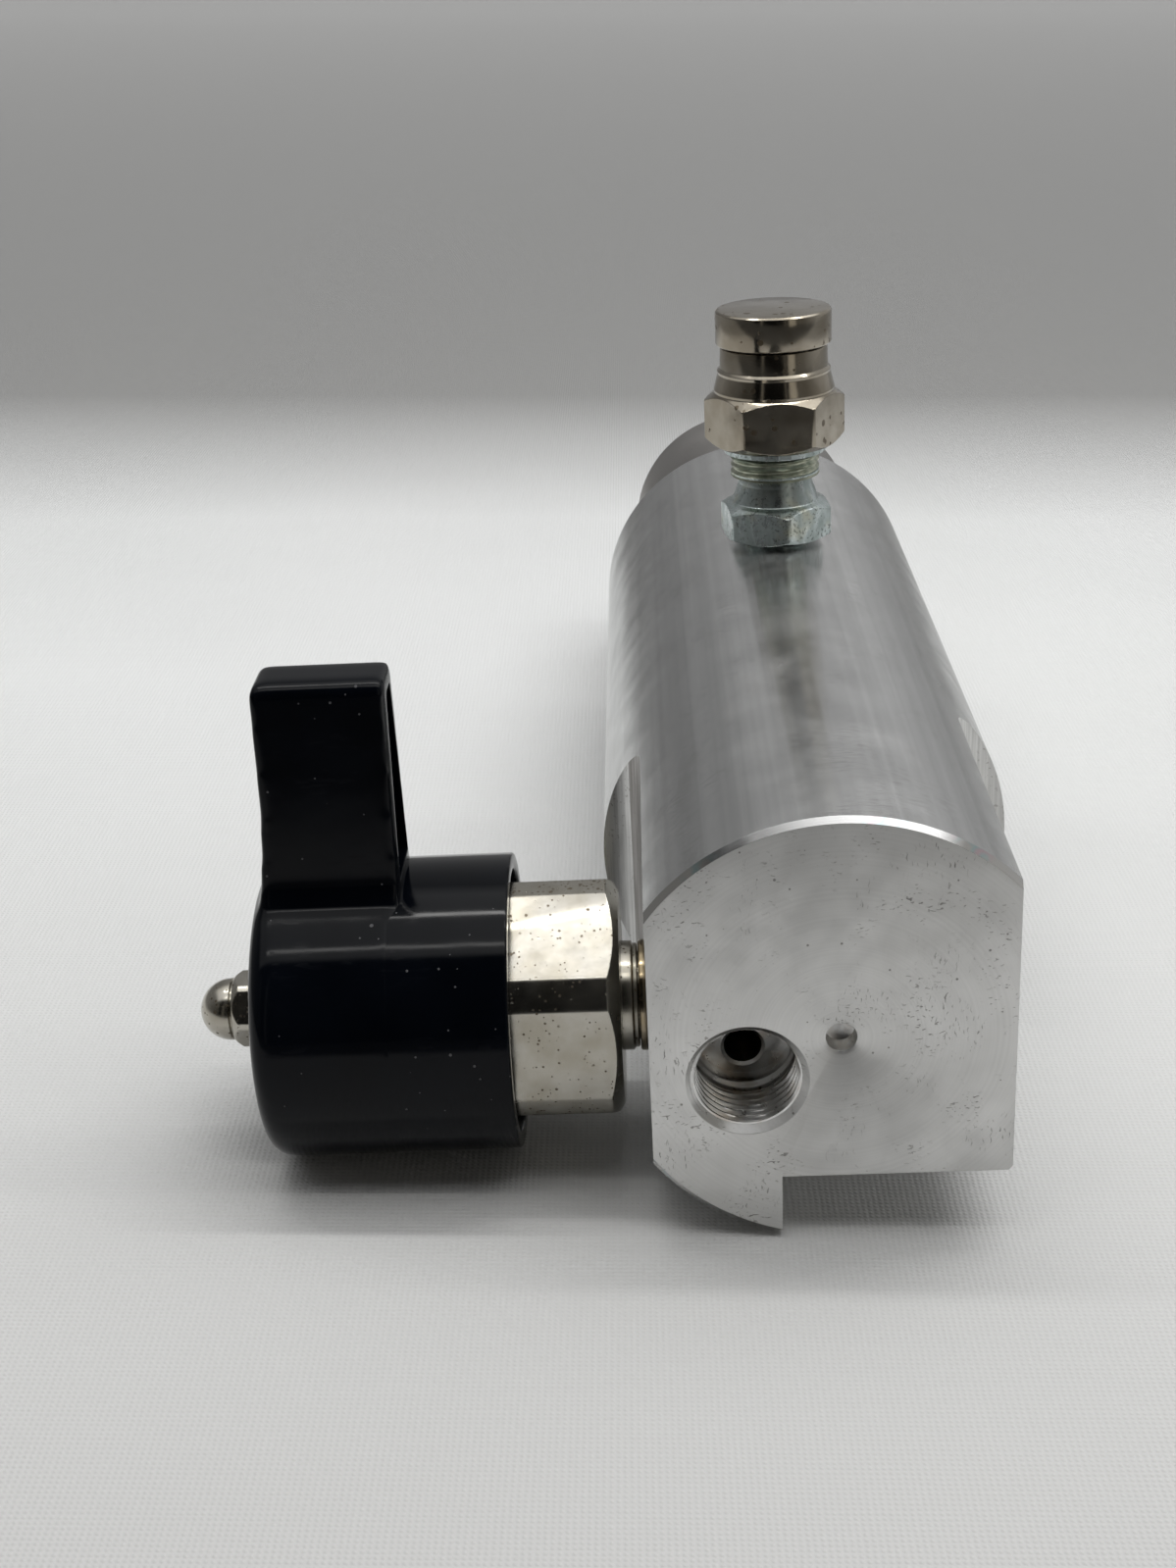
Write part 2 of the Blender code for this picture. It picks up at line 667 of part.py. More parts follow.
def build_vent_adapter(axes, materials):
    axis = axes["vent"]
    corner = ADAPTER_FLATS / math.sqrt(3)
    envelope = [
        (0.0, ADAPTER_BOTTOM),
        (0.0046, ADAPTER_BOTTOM),
        (0.00475, ADAPTER_BOTTOM + 0.0070),
        (0.00475, ADAPTER_HEX_BOTTOM),
        (ADAPTER_FLATS / 2, ADAPTER_HEX_BOTTOM),
        (corner + 0.0002, ADAPTER_HEX_BOTTOM + 0.0006),
        (corner + 0.0002, ADAPTER_HEX_TOP - 0.0006),
        (ADAPTER_FLATS / 2 - 0.0001, ADAPTER_HEX_TOP),
        (0.0060, ADAPTER_HEX_TOP + 0.0005),
        (0.0051, ADAPTER_NECK_TOP - 0.0006),
        (0.0051, ADAPTER_NECK_TOP),
        (0.0062, 0.0352),
        (0.0062, 0.0392),
        (0.0049, 0.0392),
        (0.0049, 0.0432),
        (0.0, 0.0432),
    ]
    turn = math.radians(-90) + ADAPTER_TURN
    outline = hexagon(ADAPTER_FLATS, turn)
    adapter = prism("vent_adapter", outline, ADAPTER_BOTTOM - 0.001, 0.045, axis, materials["zinc_plate"])
    keep_common(adapter, turned("envelope_adapter", envelope, axis, sides=SIDES_SMALL))
    bore = [
        (0.0, ADAPTER_BOTTOM - 0.002),
        (0.0026, ADAPTER_BOTTOM - 0.002),
        (0.0026, 0.0370),
        (0.0040, 0.0380),
        (0.0040, 0.0450),
        (0.0, 0.0450),
    ]
    cut(adapter, turned("cutter_adapter_bore", bore, axis, sides=SIDES_HOLE))
    ring("vent_washer", 0.00650, 0.0072, 0.0384, 0.0391, axis, materials["zinc_plate"], SIDES_SMALL)


def build_vent_body(axes, materials):
    axis = axes["vent"]
    corner = VENT_FLATS / math.sqrt(3)
    envelope = [
        (0.0, VENT_HEX_BOTTOM),
        (VENT_FLATS / 2 - 0.0002, VENT_HEX_BOTTOM),
        (corner, VENT_HEX_BOTTOM + 0.0010),
        (corner, VENT_HEX_TOP - 0.0010),
        (VENT_FLATS / 2 - 0.0002, VENT_HEX_TOP),
        (0.0084, VENT_HEX_TOP + 0.0004),
        (0.0077, VENT_BARREL_STEP - 0.0003),
        (0.0074, VENT_BARREL_STEP),
        (0.0074, BUTTON_BOTTOM - GAP),
        (0.0, BUTTON_BOTTOM - GAP),
    ]
    outline = hexagon(VENT_FLATS)
    vent = prism("vent_body", outline, VENT_HEX_BOTTOM - 0.001, 0.055, axis, materials["nickel_plate"])
    keep_common(vent, turned("envelope_vent_body", envelope, axis, sides=36))
    bore = [
        (0.0, 0.0380),
        (0.0051, 0.0380),
        (0.0051, 0.0435),
        (0.0020, 0.0435),
        (0.0020, 0.0450),
        (0.0062, 0.0450),
        (0.0062, 0.0560),
        (0.0, 0.0560),
    ]
    cut(vent, turned("cutter_vent_bore", bore, axis, sides=SIDES_SMALL))


def build_button(axes, materials):
    axis = axes["vent"]
    recess_top = BUTTON_BOTTOM + BUTTON_STROKE + GAP
    cap = [
        (0.0, BUTTON_TOP),
        (BUTTON_RADIUS - 0.0005, BUTTON_TOP),
        (BUTTON_RADIUS, BUTTON_TOP - 0.0005),
        (BUTTON_RADIUS, BUTTON_BOTTOM),
        (0.0075, BUTTON_BOTTOM),
        (0.0075, recess_top),
        (0.0, recess_top),
    ]
    turned("vent_button", cap, axis, materials["nickel_plate"])
    plunger = [
        (0.0, 0.0404),
        (0.0012, 0.0404),
        (0.0012, 0.0414),
        (0.0015, 0.0414),
        (0.0015, 0.0506),
        (0.0026, 0.0512),
        (0.0026, recess_top - GAP),
        (0.0, recess_top - GAP),
    ]
    turned("vent_plunger", plunger, axis, materials["brass"], SIDES_HOLE)
    round_ring("vent_poppet_seal", 0.0017, 0.0034, 0.0423, axis, materials["seal_rubber"])
    spring_top = recess_top - GAP
    coil("vent_button_spring", 0.0046, 0.0004, 0.0452, spring_top, 4.5, axis, materials["spring_steel"], 0)


# ---------------------------------------------------------------- assembly


def make_axes():
    left_end = -(LEFT_FLAT + CAP_NUT_TIP)
    origin = (-(left_end + BODY_RADIUS) / 2, -ROD_END / 2, BODY_RADIUS)
    frame = empty("design_frame", None, origin)
    return {
        "frame": frame,
        "bore": empty("bore_axis", frame, (0.0, 0.0, 0.0), TOWARDS_Y),
        "port": empty("port_axis", frame, (PORT_X, 0.0, PORT_Z), TOWARDS_Y),
        "valve": empty("valve_axis", frame, (-LEFT_FLAT, VALVE_Y, VALVE_Z), TOWARDS_MINUS_X),
        "vent": empty("vent_axis", frame, (0.0, VENT_Y, 0.0)),
    }


def main():
    clear_scene()
    materials = make_materials()
    axes = make_axes()
    build_body(axes, materials)
    build_gland(axes, materials)
    build_piston(axes, materials)
    build_bonnet(axes, materials)
    build_stem(axes, materials)
    build_handle(axes, materials)
    build_vent_adapter(axes, materials)
    build_vent_body(axes, materials)
    build_button(axes, materials)
    bpy.context.view_layer.update()


main()
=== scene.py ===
"""The looks of the pneumatic cylinder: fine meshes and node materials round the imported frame.

Lengths are in metres. Places come from the frame: the bore axis and the body's sizes from the body's
box, the valve axis from the handle's joint, the vent axis from the button's box and the inlet from the
stated opening. A turned piece is drawn as a half-section of (radius, height) points about its own local
Z axis, and a third number on a point rounds that corner.
"""

import json
import math

import bmesh
import bpy
from mathutils import Euler, Matrix, Vector


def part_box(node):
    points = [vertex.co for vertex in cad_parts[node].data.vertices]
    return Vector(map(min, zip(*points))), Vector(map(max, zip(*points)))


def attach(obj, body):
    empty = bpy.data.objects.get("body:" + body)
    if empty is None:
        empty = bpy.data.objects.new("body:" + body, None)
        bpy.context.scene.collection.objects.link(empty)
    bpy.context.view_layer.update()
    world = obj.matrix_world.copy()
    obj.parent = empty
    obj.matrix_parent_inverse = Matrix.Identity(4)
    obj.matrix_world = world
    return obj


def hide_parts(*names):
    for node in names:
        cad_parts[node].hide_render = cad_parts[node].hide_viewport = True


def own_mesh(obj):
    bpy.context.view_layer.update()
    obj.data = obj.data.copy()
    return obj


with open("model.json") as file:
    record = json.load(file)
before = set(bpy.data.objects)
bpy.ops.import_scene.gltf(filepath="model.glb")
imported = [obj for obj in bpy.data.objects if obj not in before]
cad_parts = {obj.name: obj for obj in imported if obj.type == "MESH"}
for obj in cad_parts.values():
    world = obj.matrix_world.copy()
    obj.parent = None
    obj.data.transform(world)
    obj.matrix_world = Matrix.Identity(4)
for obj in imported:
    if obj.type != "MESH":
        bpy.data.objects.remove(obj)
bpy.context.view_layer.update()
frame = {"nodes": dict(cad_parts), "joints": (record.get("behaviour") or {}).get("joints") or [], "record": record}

body_low, body_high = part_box("cylinder_body")
gland_low, gland_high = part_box("rod_end_gland")
button_low, button_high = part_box("vent_button")
rod_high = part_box("piston_rod")[1]
handle_joint = next(joint for joint in frame["joints"] if joint["name"] == "handle_turn")
inlet_low, inlet_high = frame["record"]["physics"]["openings"][0]["box_m"]

BODY_RADIUS = (body_high.z - body_low.z) / 2
BODY_LENGTH = body_high.y - body_low.y
BORE = Vector(((body_low.x + body_high.x) / 2, body_low.y, (body_low.z + body_high.z) / 2))
PORT = Vector(((inlet_low[0] + inlet_high[0]) / 2, BORE.y, (inlet_low[2] + inlet_high[2]) / 2))
VALVE = Vector(handle_joint["pos_m"])
VENT = Vector(((button_low.x + button_high.x) / 2, (button_low.y + button_high.y) / 2, BORE.z))

TOWARDS_Y = Euler((-math.pi / 2, 0.0, 0.0)).to_matrix().to_4x4()
TOWARDS_MINUS_X = Euler((0.0, -math.pi / 2, 0.0)).to_matrix().to_4x4()
BORE_AXIS = Matrix.Translation(BORE) @ TOWARDS_Y
PORT_AXIS = Matrix.Translation(PORT) @ TOWARDS_Y
VALVE_AXIS = Matrix.Translation(VALVE) @ TOWARDS_MINUS_X
VENT_AXIS = Matrix.Translation(VENT)
UPRIGHT = Matrix.Translation(BORE)

# The body: its two side flats, the notch below, the inlet and the hollow inside
BODY_CHAMFER = 0.0006
LEFT_FLAT = BORE.x - VALVE.x
RIGHT_FLAT = 0.0184
LEFT_FLAT_END = 0.0415
RIGHT_FLAT_END = 0.0439
MILL_RADIUS = 0.0060
RUN_OUT_MIDDLE = 0.0460
NOTCH_SIDE = -0.0064
NOTCH_HEIGHT = -0.0171
NOTCH_END = 0.0440
PORT_DEPTH = 0.0105
PASSAGE_RADIUS = 0.0021
PASSAGE_DROP = 0.0020
PASSAGE_END = 0.0260
RESERVOIR_START = 0.0580
RESERVOIR_RADIUS = 0.0170
PISTON_STOP = 0.1030
CHAMBER_RADIUS = 0.0190

# How far a cutter goes past the front face, past the bar's side, and up and down
CUTTER_START = -0.002
CUTTER_REACH = BODY_RADIUS + 0.004
CUTTER_HEIGHT = 0.03

# The handle, with heights along the valve axis from the left flat
DRUM_RADIUS = 0.01707
DRUM_END = 0.0443
SKIRT_INNER_RADIUS = 0.0151
SKIRT_END = 0.0286
HUB_RADIUS = 0.0062
WING_START = 0.0268
WING_REACH = 0.0412
WING_ROOT_HALF = 0.0064
WING_TIP_HALF = 0.0040
WING_WALL = 0.0020
WING_FILLET = 0.0045

# The rod and the two springs
ROD_RADIUS = 0.0060
SPRING_POCKET_RADIUS = 0.0135
RETURN_SPRING_START = 0.1201
RETURN_SPRING_END = 0.1757
BUTTON_SPRING_START = 0.0452
BUTTON_SPRING_END = 0.0562

# How many flat sides stand for a circle
FINE = 160
MEDIUM = 96


# ---------------------------------------------------------------- meshes


def finished(bm, name, matrix):
    """Turns a bmesh in local coordinates into a smooth-shaded object at the given place."""
    bmesh.ops.recalc_face_normals(bm, faces=bm.faces)
    mesh = bpy.data.meshes.new(name)
    bm.to_mesh(mesh)
    bm.free()
    made = bpy.data.objects.new(name, mesh)
    bpy.context.scene.collection.objects.link(made)
    made.matrix_world = matrix
    smooth(made)
    return made


def smooth(shape):
    """Smooth shading, with a sharp edge wherever two faces meet at more than 30 degrees."""
    shape.data.shade_smooth()
    shape.data.set_sharp_from_angle(angle=math.radians(30))
    return shape


def rounded(points, steps=3):
    """The outline with each (x, y, radius) corner replaced by a short arc."""
    result = []
    for index, point in enumerate(points):
        corner = Vector(point[:2])
        if len(point) == 2:
            result.append(tuple(corner))
            continue
        before = Vector(points[index - 1][:2]) - corner
        after = Vector(points[(index + 1) % len(points)][:2]) - corner
        half = before.angle(after) / 2
        reach = min(point[2] / math.tan(half), 0.48 * before.length, 0.48 * after.length)
        radius = reach * math.tan(half)
        before.normalize()
        after.normalize()
        centre = corner + (before + after).normalized() * (radius / math.sin(half))
        start = corner + before * reach - centre
        end = corner + after * reach - centre
        for step in range(steps + 1):
            share = step / steps
            result.append(tuple(centre + start.lerp(end, share).normalized() * radius))
    return result


def arc(centre, radius, start, end, steps):
    """Points on a circle from one angle to another, in degrees."""
    angles = [math.radians(start + (end - start) * step / steps) for step in range(steps + 1)]
    return [(centre[0] + radius * math.cos(a), centre[1] + radius * math.sin(a)) for a in angles]


def turned(name, section, matrix, sides=MEDIUM):
    """A closed half-section spun about local Z; it starts and ends on the axis, or closes on itself."""
    section = rounded(section)
    bm = bmesh.new()
    points = [bm.verts.new((radius, 0.0, height)) for radius, height in section]
    edges = [bm.edges.new(pair) for pair in zip(points, points[1:])]
    if section[0][0] > 0.0:
        edges.append(bm.edges.new((points[-1], points[0])))
    spin = {"cent": (0, 0, 0), "axis": (0, 0, 1), "angle": 2 * math.pi, "steps": sides, "use_merge": True}
    bmesh.ops.spin(bm, geom=points + edges, **spin)
    bmesh.ops.remove_doubles(bm, verts=bm.verts, dist=1e-7)
    return finished(bm, name, matrix)


def prism(name, outline, bottom, top, matrix):
    """An outline in local x and y, extruded along local Z."""
    bm = bmesh.new()
    face = bm.faces.new([bm.verts.new((x, y, bottom)) for x, y in rounded(outline)])
    grown = bmesh.ops.extrude_face_region(bm, geom=[face])
    lifted = [item for item in grown["geom"] if isinstance(item, bmesh.types.BMVert)]
    bmesh.ops.translate(bm, verts=lifted, vec=(0.0, 0.0, top - bottom))
    return finished(bm, name, matrix)


def rod(name, radius, bottom, top, matrix, sides=MEDIUM):
    return turned(name, [(0.0, bottom), (radius, bottom), (radius, top), (0.0, top)], matrix, sides)


def threaded_rod(name, crest, depth, pitch, bottom, top, matrix, taper=0.0, sides=72, per_turn=10):
    """A rod with a helical thread that fades out at both ends; taper is the radius lost per metre."""
    rows = int((top - bottom) / pitch * per_turn) + 1
    bm = bmesh.new()
    rings = []
    for row in range(rows):
        height = bottom + (top - bottom) * row / (rows - 1)
        fade = min(1.0, (height - bottom) / pitch, (top - height) / pitch)
        ring = []
        for side in range(sides):
            angle = 2 * math.pi * side / sides
            phase = (height / pitch - side / sides) % 1.0
            groove = min(1.0, max(0.0, 1.35 - 2.7 * abs(phase - 0.5)))
            radius = crest - taper * (height - bottom) - depth * fade * groove
            ring.append(bm.verts.new((radius * math.cos(angle), radius * math.sin(angle), height)))
        rings.append(ring)
    for low, high in zip(rings, rings[1:]):
        for side in range(sides):
            following = (side + 1) % sides
            bm.faces.new((low[side], low[following], high[following], high[side]))
    bm.faces.new(rings[0])
    bm.faces.new(rings[-1])
    return finished(bm, name, matrix)


def combined(target, operation, *others):
    """Applies Booleans with the other shapes, which are then removed."""
    for other in others:
        modifier = target.modifiers.new("boolean", "BOOLEAN")
        modifier.operation = operation
        modifier.solver = "EXACT"
        modifier.object = other
    apply_modifiers(target)
    for other in others:
        bpy.data.objects.remove(other, do_unlink=True)
    return smooth(target)


def apply_modifiers(target):
    graph = bpy.context.evaluated_depsgraph_get()
    mesh = bpy.data.meshes.new_from_object(target.evaluated_get(graph))
    target.modifiers.clear()
    target.data = mesh


def cut(target, *others):
    return combined(target, "DIFFERENCE", *others)


def join(target, *others):
    return combined(target, "UNION", *others)


def keep_common(target, *others):
    return combined(target, "INTERSECT", *others)


def hexagon(flats, turn=0.0):
    corner = flats / math.sqrt(3)
    angles = [math.radians(turn + 60 * step) for step in range(6)]
    return [(corner * math.cos(a), corner * math.sin(a)) for a in angles]


def hex_piece(name, flats, turn, envelope, matrix):
    """A hexagon bar whose ends and corners are turned to the envelope's half-section."""
    heights = [point[1] for point in envelope]
    bar = prism(name, hexagon(flats, turn), min(heights) - 0.001, max(heights) + 0.001, matrix)
    return keep_common(bar, turned("envelope", envelope, matrix, FINE))


def place(piece, node, body, slot, *materials):
    """The piece stands for a CAD node, rides on its body and takes the given materials."""
    piece.data.materials.clear()
    for material in materials:
        piece.data.materials.append(material)
    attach(piece, body)
    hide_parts(node)
    return piece


# ---------------------------------------------------------------- materials


class Nodes:
    """Short ways to add nodes to a tree."""

    def __init__(self, tree):
        self.tree = tree

    def node(self, kind, inputs=None, **settings):
        made = self.tree.nodes.new("ShaderNode" + kind)
        for name, value in settings.items():
            setattr(made, name, value)
        for name, value in (inputs or {}).items():
            if isinstance(value, bpy.types.NodeSocket):
                self.tree.links.new(value, made.inputs[name])
            else:
                made.inputs[name].default_value = value
        return made

    def maths(self, operation, first, second=0.0):
        return self.node("Math", {0: first, 1: second}, operation=operation).outputs[0]

    def between(self, value, start, end, low=0.0, high=1.0):
        """Maps the value from start..end to low..high, and holds it there outside."""
        inputs = {"Value": value, "From Min": start, "From Max": end, "To Min": low, "To Max": high}
        return self.node("MapRange", inputs).outputs[0]

    def mix(self, share, first, second):
        first = (*first, 1.0) if isinstance(first, tuple) else first
        second = (*second, 1.0) if isinstance(second, tuple) else second
        made = self.node("Mix", {0: share, 6: first, 7: second}, data_type="RGBA")
        return made.outputs[2]


class Look(Nodes):
    """A node material being made. Sizes of patterns are in metres, in the piece's own coordinates."""

    def __init__(self, name, metallic, specular=0.5):
        self.material = bpy.data.materials.new(name)
        self.material.use_nodes = True
        super().__init__(self.material.node_tree)
        self.shader = self.tree.nodes["Principled BSDF"]
        self.shader.inputs["Metallic"].default_value = metallic
        self.shader.inputs["Specular IOR Level"].default_value = specular
        self.place = self.node("TexCoord").outputs["Object"]
        self.normal = None

    def noise(self, size, detail=2.0, stretch=(1.0, 1.0, 1.0), at=None):
        """Noise from 0 to 1 with blotches of about the given size; a stretch below 1 lengthens them."""
        scale = tuple(share / size for share in stretch)
        mapped = self.node("Mapping", {"Vector": at or self.place, "Scale": scale}).outputs[0]
        return self.node("TexNoise", {"Vector": mapped, "Scale": 1.0, "Detail": detail}).outputs[0]

    def polar(self):
        """(distance from local Z, height, 0): noise on it makes the rings that turning leaves."""
        parts = self.node("SeparateXYZ", {"Vector": self.place}).outputs
        flat = self.node("CombineXYZ", {"X": parts[0], "Y": parts[1]}).outputs[0]
        radius = self.node("VectorMath", {0: flat}, operation="LENGTH").outputs["Value"]
        return self.node("CombineXYZ", {"X": radius, "Y": parts[2]}).outputs[0]

    def bump(self, height, distance, strength=1.0):
        inputs = {"Height": height, "Distance": distance, "Strength": strength}
        if self.normal:
            inputs["Normal"] = self.normal
        self.normal = self.node("Bump", inputs).outputs[0]

    def soft_edges(self, radius):
        self.normal = self.node("Bevel", {"Radius": radius}, samples=4).outputs[0]

    def bent(self, size, amount):
        """The place moved about by noise of the given size, so that straight patterns on it curve."""
        mapped = self.node("Mapping", {"Vector": self.place, "Scale": (1 / size,) * 3}).outputs[0]
        shift = self.node("TexNoise", {"Vector": mapped, "Scale": 1.0}).outputs["Color"]
        inputs = {0: shift, 1: (amount,) * 3, 2: self.place}
        return self.node("VectorMath", inputs, operation="MULTIPLY_ADD").outputs[0]

    def pits(self, size, rarity, cluster=0.006, stretch=(1.0, 1.0, 1.0), at=None, crowd=0.46):
        """Small marks, 0 or 1, closer together in some places than in others."""
        marks = self.between(self.noise(size, 1.0, stretch, at), rarity, rarity + 0.04)
        places = self.between(self.noise(cluster, 2.0), crowd - 0.04, crowd + 0.10)
        return self.maths("MULTIPLY", marks, places)

    def specks(self, spacing, share):
        """Separate round specks, 1 inside and 0 outside; share is the radius as a part of the spacing."""
        cells = {"Vector": self.place, "Scale": 1.0 / spacing, "Randomness": 1.0}
        near = self.node("TexVoronoi", cells)
        chance = self.node("SeparateColor", {"Color": near.outputs["Color"]}).outputs
        size = self.between(chance[0], 0.55, 1.0, 0.0, share)
        return self.maths("LESS_THAN", near.outputs["Distance"], size)

    def anisotropic(self, amount, rotation):
        tangent = self.node("Tangent", direction_type="RADIAL", axis="Z").outputs[0]
        self.tree.links.new(tangent, self.shader.inputs["Tangent"])
        self.shader.inputs["Anisotropic"].default_value = amount
        self.shader.inputs["Anisotropic Rotation"].default_value = rotation

    def done(self, colour, roughness):
        for name, value in (("Base Color", colour), ("Roughness", roughness), ("Normal", self.normal)):
            if isinstance(value, bpy.types.NodeSocket):
                self.tree.links.new(value, self.shader.inputs[name])
            elif value is not None:
                self.shader.inputs[name].default_value = (*value, 1.0) if name == "Base Color" else value
        return self.material


def turned_aluminium():
    """The bar's outside: drawn lengthwise and polished round, with soft bands, smudges and light scuffs."""
    look = Look("turned_aluminium", 1.0)
    look.soft_edges(0.00012)
    look.bump(look.noise(0.00006, 2.0, at=look.polar()), 0.0000015)
    bands = look.between(look.noise(0.0014, 4.0, (1.0, 1.0, 0.006)), 0.32, 0.68)
    colour = look.mix(bands, (0.57, 0.575, 0.57), (0.68, 0.685, 0.68))
    edges = look.between(look.noise(0.0060, 0.0, (1.0, 1.0, 0.004)), 0.50, 0.515)
    colour = look.mix(look.maths("MULTIPLY", edges, 0.16), colour, (0.40, 0.40, 0.40))
    smudge = look.between(look.noise(0.006, 5.0, (1.0, 1.0, 0.5)), 0.56, 0.74)
    colour = look.mix(look.maths("MULTIPLY", smudge, 0.22), colour, (0.36, 0.35, 0.34))
    scratches = look.pits(0.0008, 0.60, 0.012, (0.5, 0.5, 7.0), look.bent(0.004, 0.0012))
    colour = look.mix(look.maths("MULTIPLY", scratches, 0.40), colour, (0.30, 0.29, 0.28))
    glints = look.specks(0.0030, 0.05)
    colour = look.mix(glints, colour, (0.95, 0.95, 0.95))
    look.bump(glints, 0.00005)
    roughness = look.between(look.noise(0.007, 4.0), 0.3, 0.7, 0.17, 0.25)
    roughness = look.maths("ADD", roughness, look.maths("MULTIPLY", smudge, 0.04))
    look.anisotropic(0.9, 0.25)
    return look.done(colour, roughness)


def faced_aluminium():
    """The bar's ends: matt, with the rings that facing leaves, and nicks that crowd in places."""
    look = Look("faced_aluminium", 1.0)
    look.soft_edges(0.00015)
    rings = look.noise(0.00030, 3.0, at=look.polar())
    look.bump(look.noise(0.00009, 3.0, at=look.polar()), 0.000006)
    bent = look.bent(0.0012, 0.0009)
    nicks = look.pits(0.00060, 0.655, 0.006, (1.0, 2.6, 1.0), bent, 0.55)
    scratches = look.pits(0.00055, 0.665, 0.008, (3.2, 0.5, 1.0), bent, 0.56)
    specks = look.specks(0.0017, 0.09)
    marks = look.maths("MAXIMUM", look.maths("MAXIMUM", nicks, scratches), specks)
    look.bump(marks, -0.00004)
    cloud = look.maths("ADD", look.noise(0.014, 3.0), look.maths("MULTIPLY", rings, 0.35))
    colour = look.mix(look.between(cloud, 0.50, 0.85), (0.58, 0.58, 0.57), (0.72, 0.72, 0.71))
    colour = look.mix(look.maths("MULTIPLY", marks, 0.7), colour, (0.14, 0.13, 0.12))
    roughness = look.between(look.noise(0.004, 3.0), 0.3, 0.7, 0.30, 0.40)
    look.anisotropic(0.85, 0.25)
    return look.done(colour, roughness)


def cut_chamfer():
    """The mirror-bright bevel round the front edge, with a painted rainbow sheen: the faint colours that very fine
    cutter lines throw.
    """
    look = Look("cut_chamfer", 1.0)
    look.bump(look.noise(0.00004, 2.0, at=look.polar()), 0.000001)
    # Painted sheen: the rainbow tints that very fine cutter lines throw, spread about by noise.
    spread = look.noise(0.0016, 0.0)
    cool = look.mix(look.between(spread, 0.35, 0.50), (0.94, 0.94, 0.93), (0.70, 0.93, 0.97))
    warm = look.mix(look.between(spread, 0.50, 0.64), cool, (0.98, 0.80, 0.88))
    sheen_share = look.between(look.noise(0.011, 1.0), 0.50, 0.60)
    colour = look.mix(sheen_share, (0.93, 0.93, 0.92), warm)
    look.anisotropic(0.7, 0.25)
    return look.done(colour, look.between(spread, 0.0, 1.0, 0.07, 0.12))


def milled_aluminium(name, low, high, roughness):
    """The flats, the notch and their end walls: upright cutter lines and small scuffs. Dark colours make painted
    shade.
    """
    look = Look(name, 1.0)
    look.soft_edges(0.00012)
    lines = look.noise(0.00030, 2.0, (1.0, 0.03, 1.0))
    look.bump(lines, 0.000012)
    scuffs = look.pits(0.00050, 0.64, 0.006)
    colour = look.mix(look.between(lines, 0.35, 0.65), low, high)
    colour = look.mix(look.maths("MULTIPLY", scuffs, 0.5), colour, (0.20, 0.19, 0.17))
    return look.done(colour, look.between(look.noise(0.005, 3.0), 0.3, 0.7, roughness, roughness + 0.12))


def port_metal():
    """The inlet: slightly oily metal with cutter chatter."""
    look = Look("port_metal", 1.0)
    look.bump(look.noise(0.00012, 2.0, at=look.polar()), 0.000008)
    stain = look.between(look.noise(0.003, 3.0), 0.50, 0.70)
    colour = look.mix(stain, (0.80, 0.80, 0.79), (0.60, 0.55, 0.49))
    return look.done(colour, look.between(look.noise(0.0009, 2.0), 0.3, 0.7, 0.26, 0.40))


def shaded_passage_metal():
    """The drilled passage behind the inlet: painted near-black, as the shade deep in the narrow hole."""
    look = Look("shaded_passage_metal", 0.6)
    # Near-black tones: painted shade deep in the drilled hole, varied a little at random.
    stain = look.between(look.noise(0.001, 3.0), 0.35, 0.65)
    return look.done(look.mix(stain, (0.020, 0.019, 0.018), (0.055, 0.052, 0.048)), 0.4)


def dark_aluminium():
    """The rod end's gland: turned, darker and browner than the bar."""
    look = Look("dark_aluminium", 1.0)
    look.soft_edges(0.00015)
    look.bump(look.noise(0.00010, 3.0, at=look.polar()), 0.000006)
    cloud = look.noise(0.014, 4.0, (1.0, 1.0, 0.5))
    colour = look.mix(look.between(cloud, 0.35, 0.65), (0.28, 0.265, 0.25), (0.38, 0.365, 0.35))
    marks = look.pits(0.00035, 0.66)
    colour = look.mix(look.maths("MULTIPLY", marks, 0.5), colour, (0.10, 0.10, 0.10))
    look.anisotropic(0.6, 0.25)
    return look.done(colour, look.between(cloud, 0.3, 0.7, 0.26, 0.38))


def nickel(name, low, high, speck_spacing, roughness):
    """Nickel plate: warm and bright, with pin-holes and a faint stain beside them."""
    look = Look(name, 1.0)
    look.soft_edges(0.00018)
    look.bump(look.noise(0.0016, 2.0), 0.000010)
    fine = look.specks(speck_spacing, 0.40)
    coarse = look.specks(3.1 * speck_spacing, 0.20)
    crowd = look.between(look.noise(0.0030, 3.0), 0.46, 0.52)
    pits = look.maths("MAXIMUM", look.maths("MULTIPLY", fine, crowd), coarse)
    look.bump(pits, -0.00002)
    tarnish = look.between(look.noise(0.004, 3.0), 0.38, 0.66)
    colour = look.mix(tarnish, high, low)
    colour = look.mix(look.maths("MULTIPLY", pits, 0.8), colour, (0.10, 0.075, 0.045))
    spread = look.between(look.noise(0.0025, 3.0), 0.3, 0.7, roughness, roughness + 0.08)
    return look.done(colour, look.maths("ADD", spread, look.maths("MULTIPLY", pits, 0.25)))


def zinc():
    """Zinc plate with its mottled blue-green passivation."""
    look = Look("zinc", 1.0)
    look.soft_edges(0.00018)
    look.bump(look.noise(0.0010, 3.0), 0.00002)
    mottle = look.between(look.noise(0.0012, 4.0, (1.0, 1.0, 0.5)), 0.36, 0.64)
    colour = look.mix(mottle, (0.38, 0.44, 0.43), (0.54, 0.60, 0.60))
    gold = look.between(look.noise(0.0042, 2.0), 0.58, 0.72)
    colour = look.mix(look.maths("MULTIPLY", gold, 0.35), colour, (0.60, 0.55, 0.36))
    dirt = look.pits(0.0004, 0.60, 0.004)
    colour = look.mix(look.maths("MULTIPLY", dirt, 0.6), colour, (0.08, 0.09, 0.08))
    return look.done(colour, look.between(mottle, 0.0, 1.0, 0.40, 0.24))


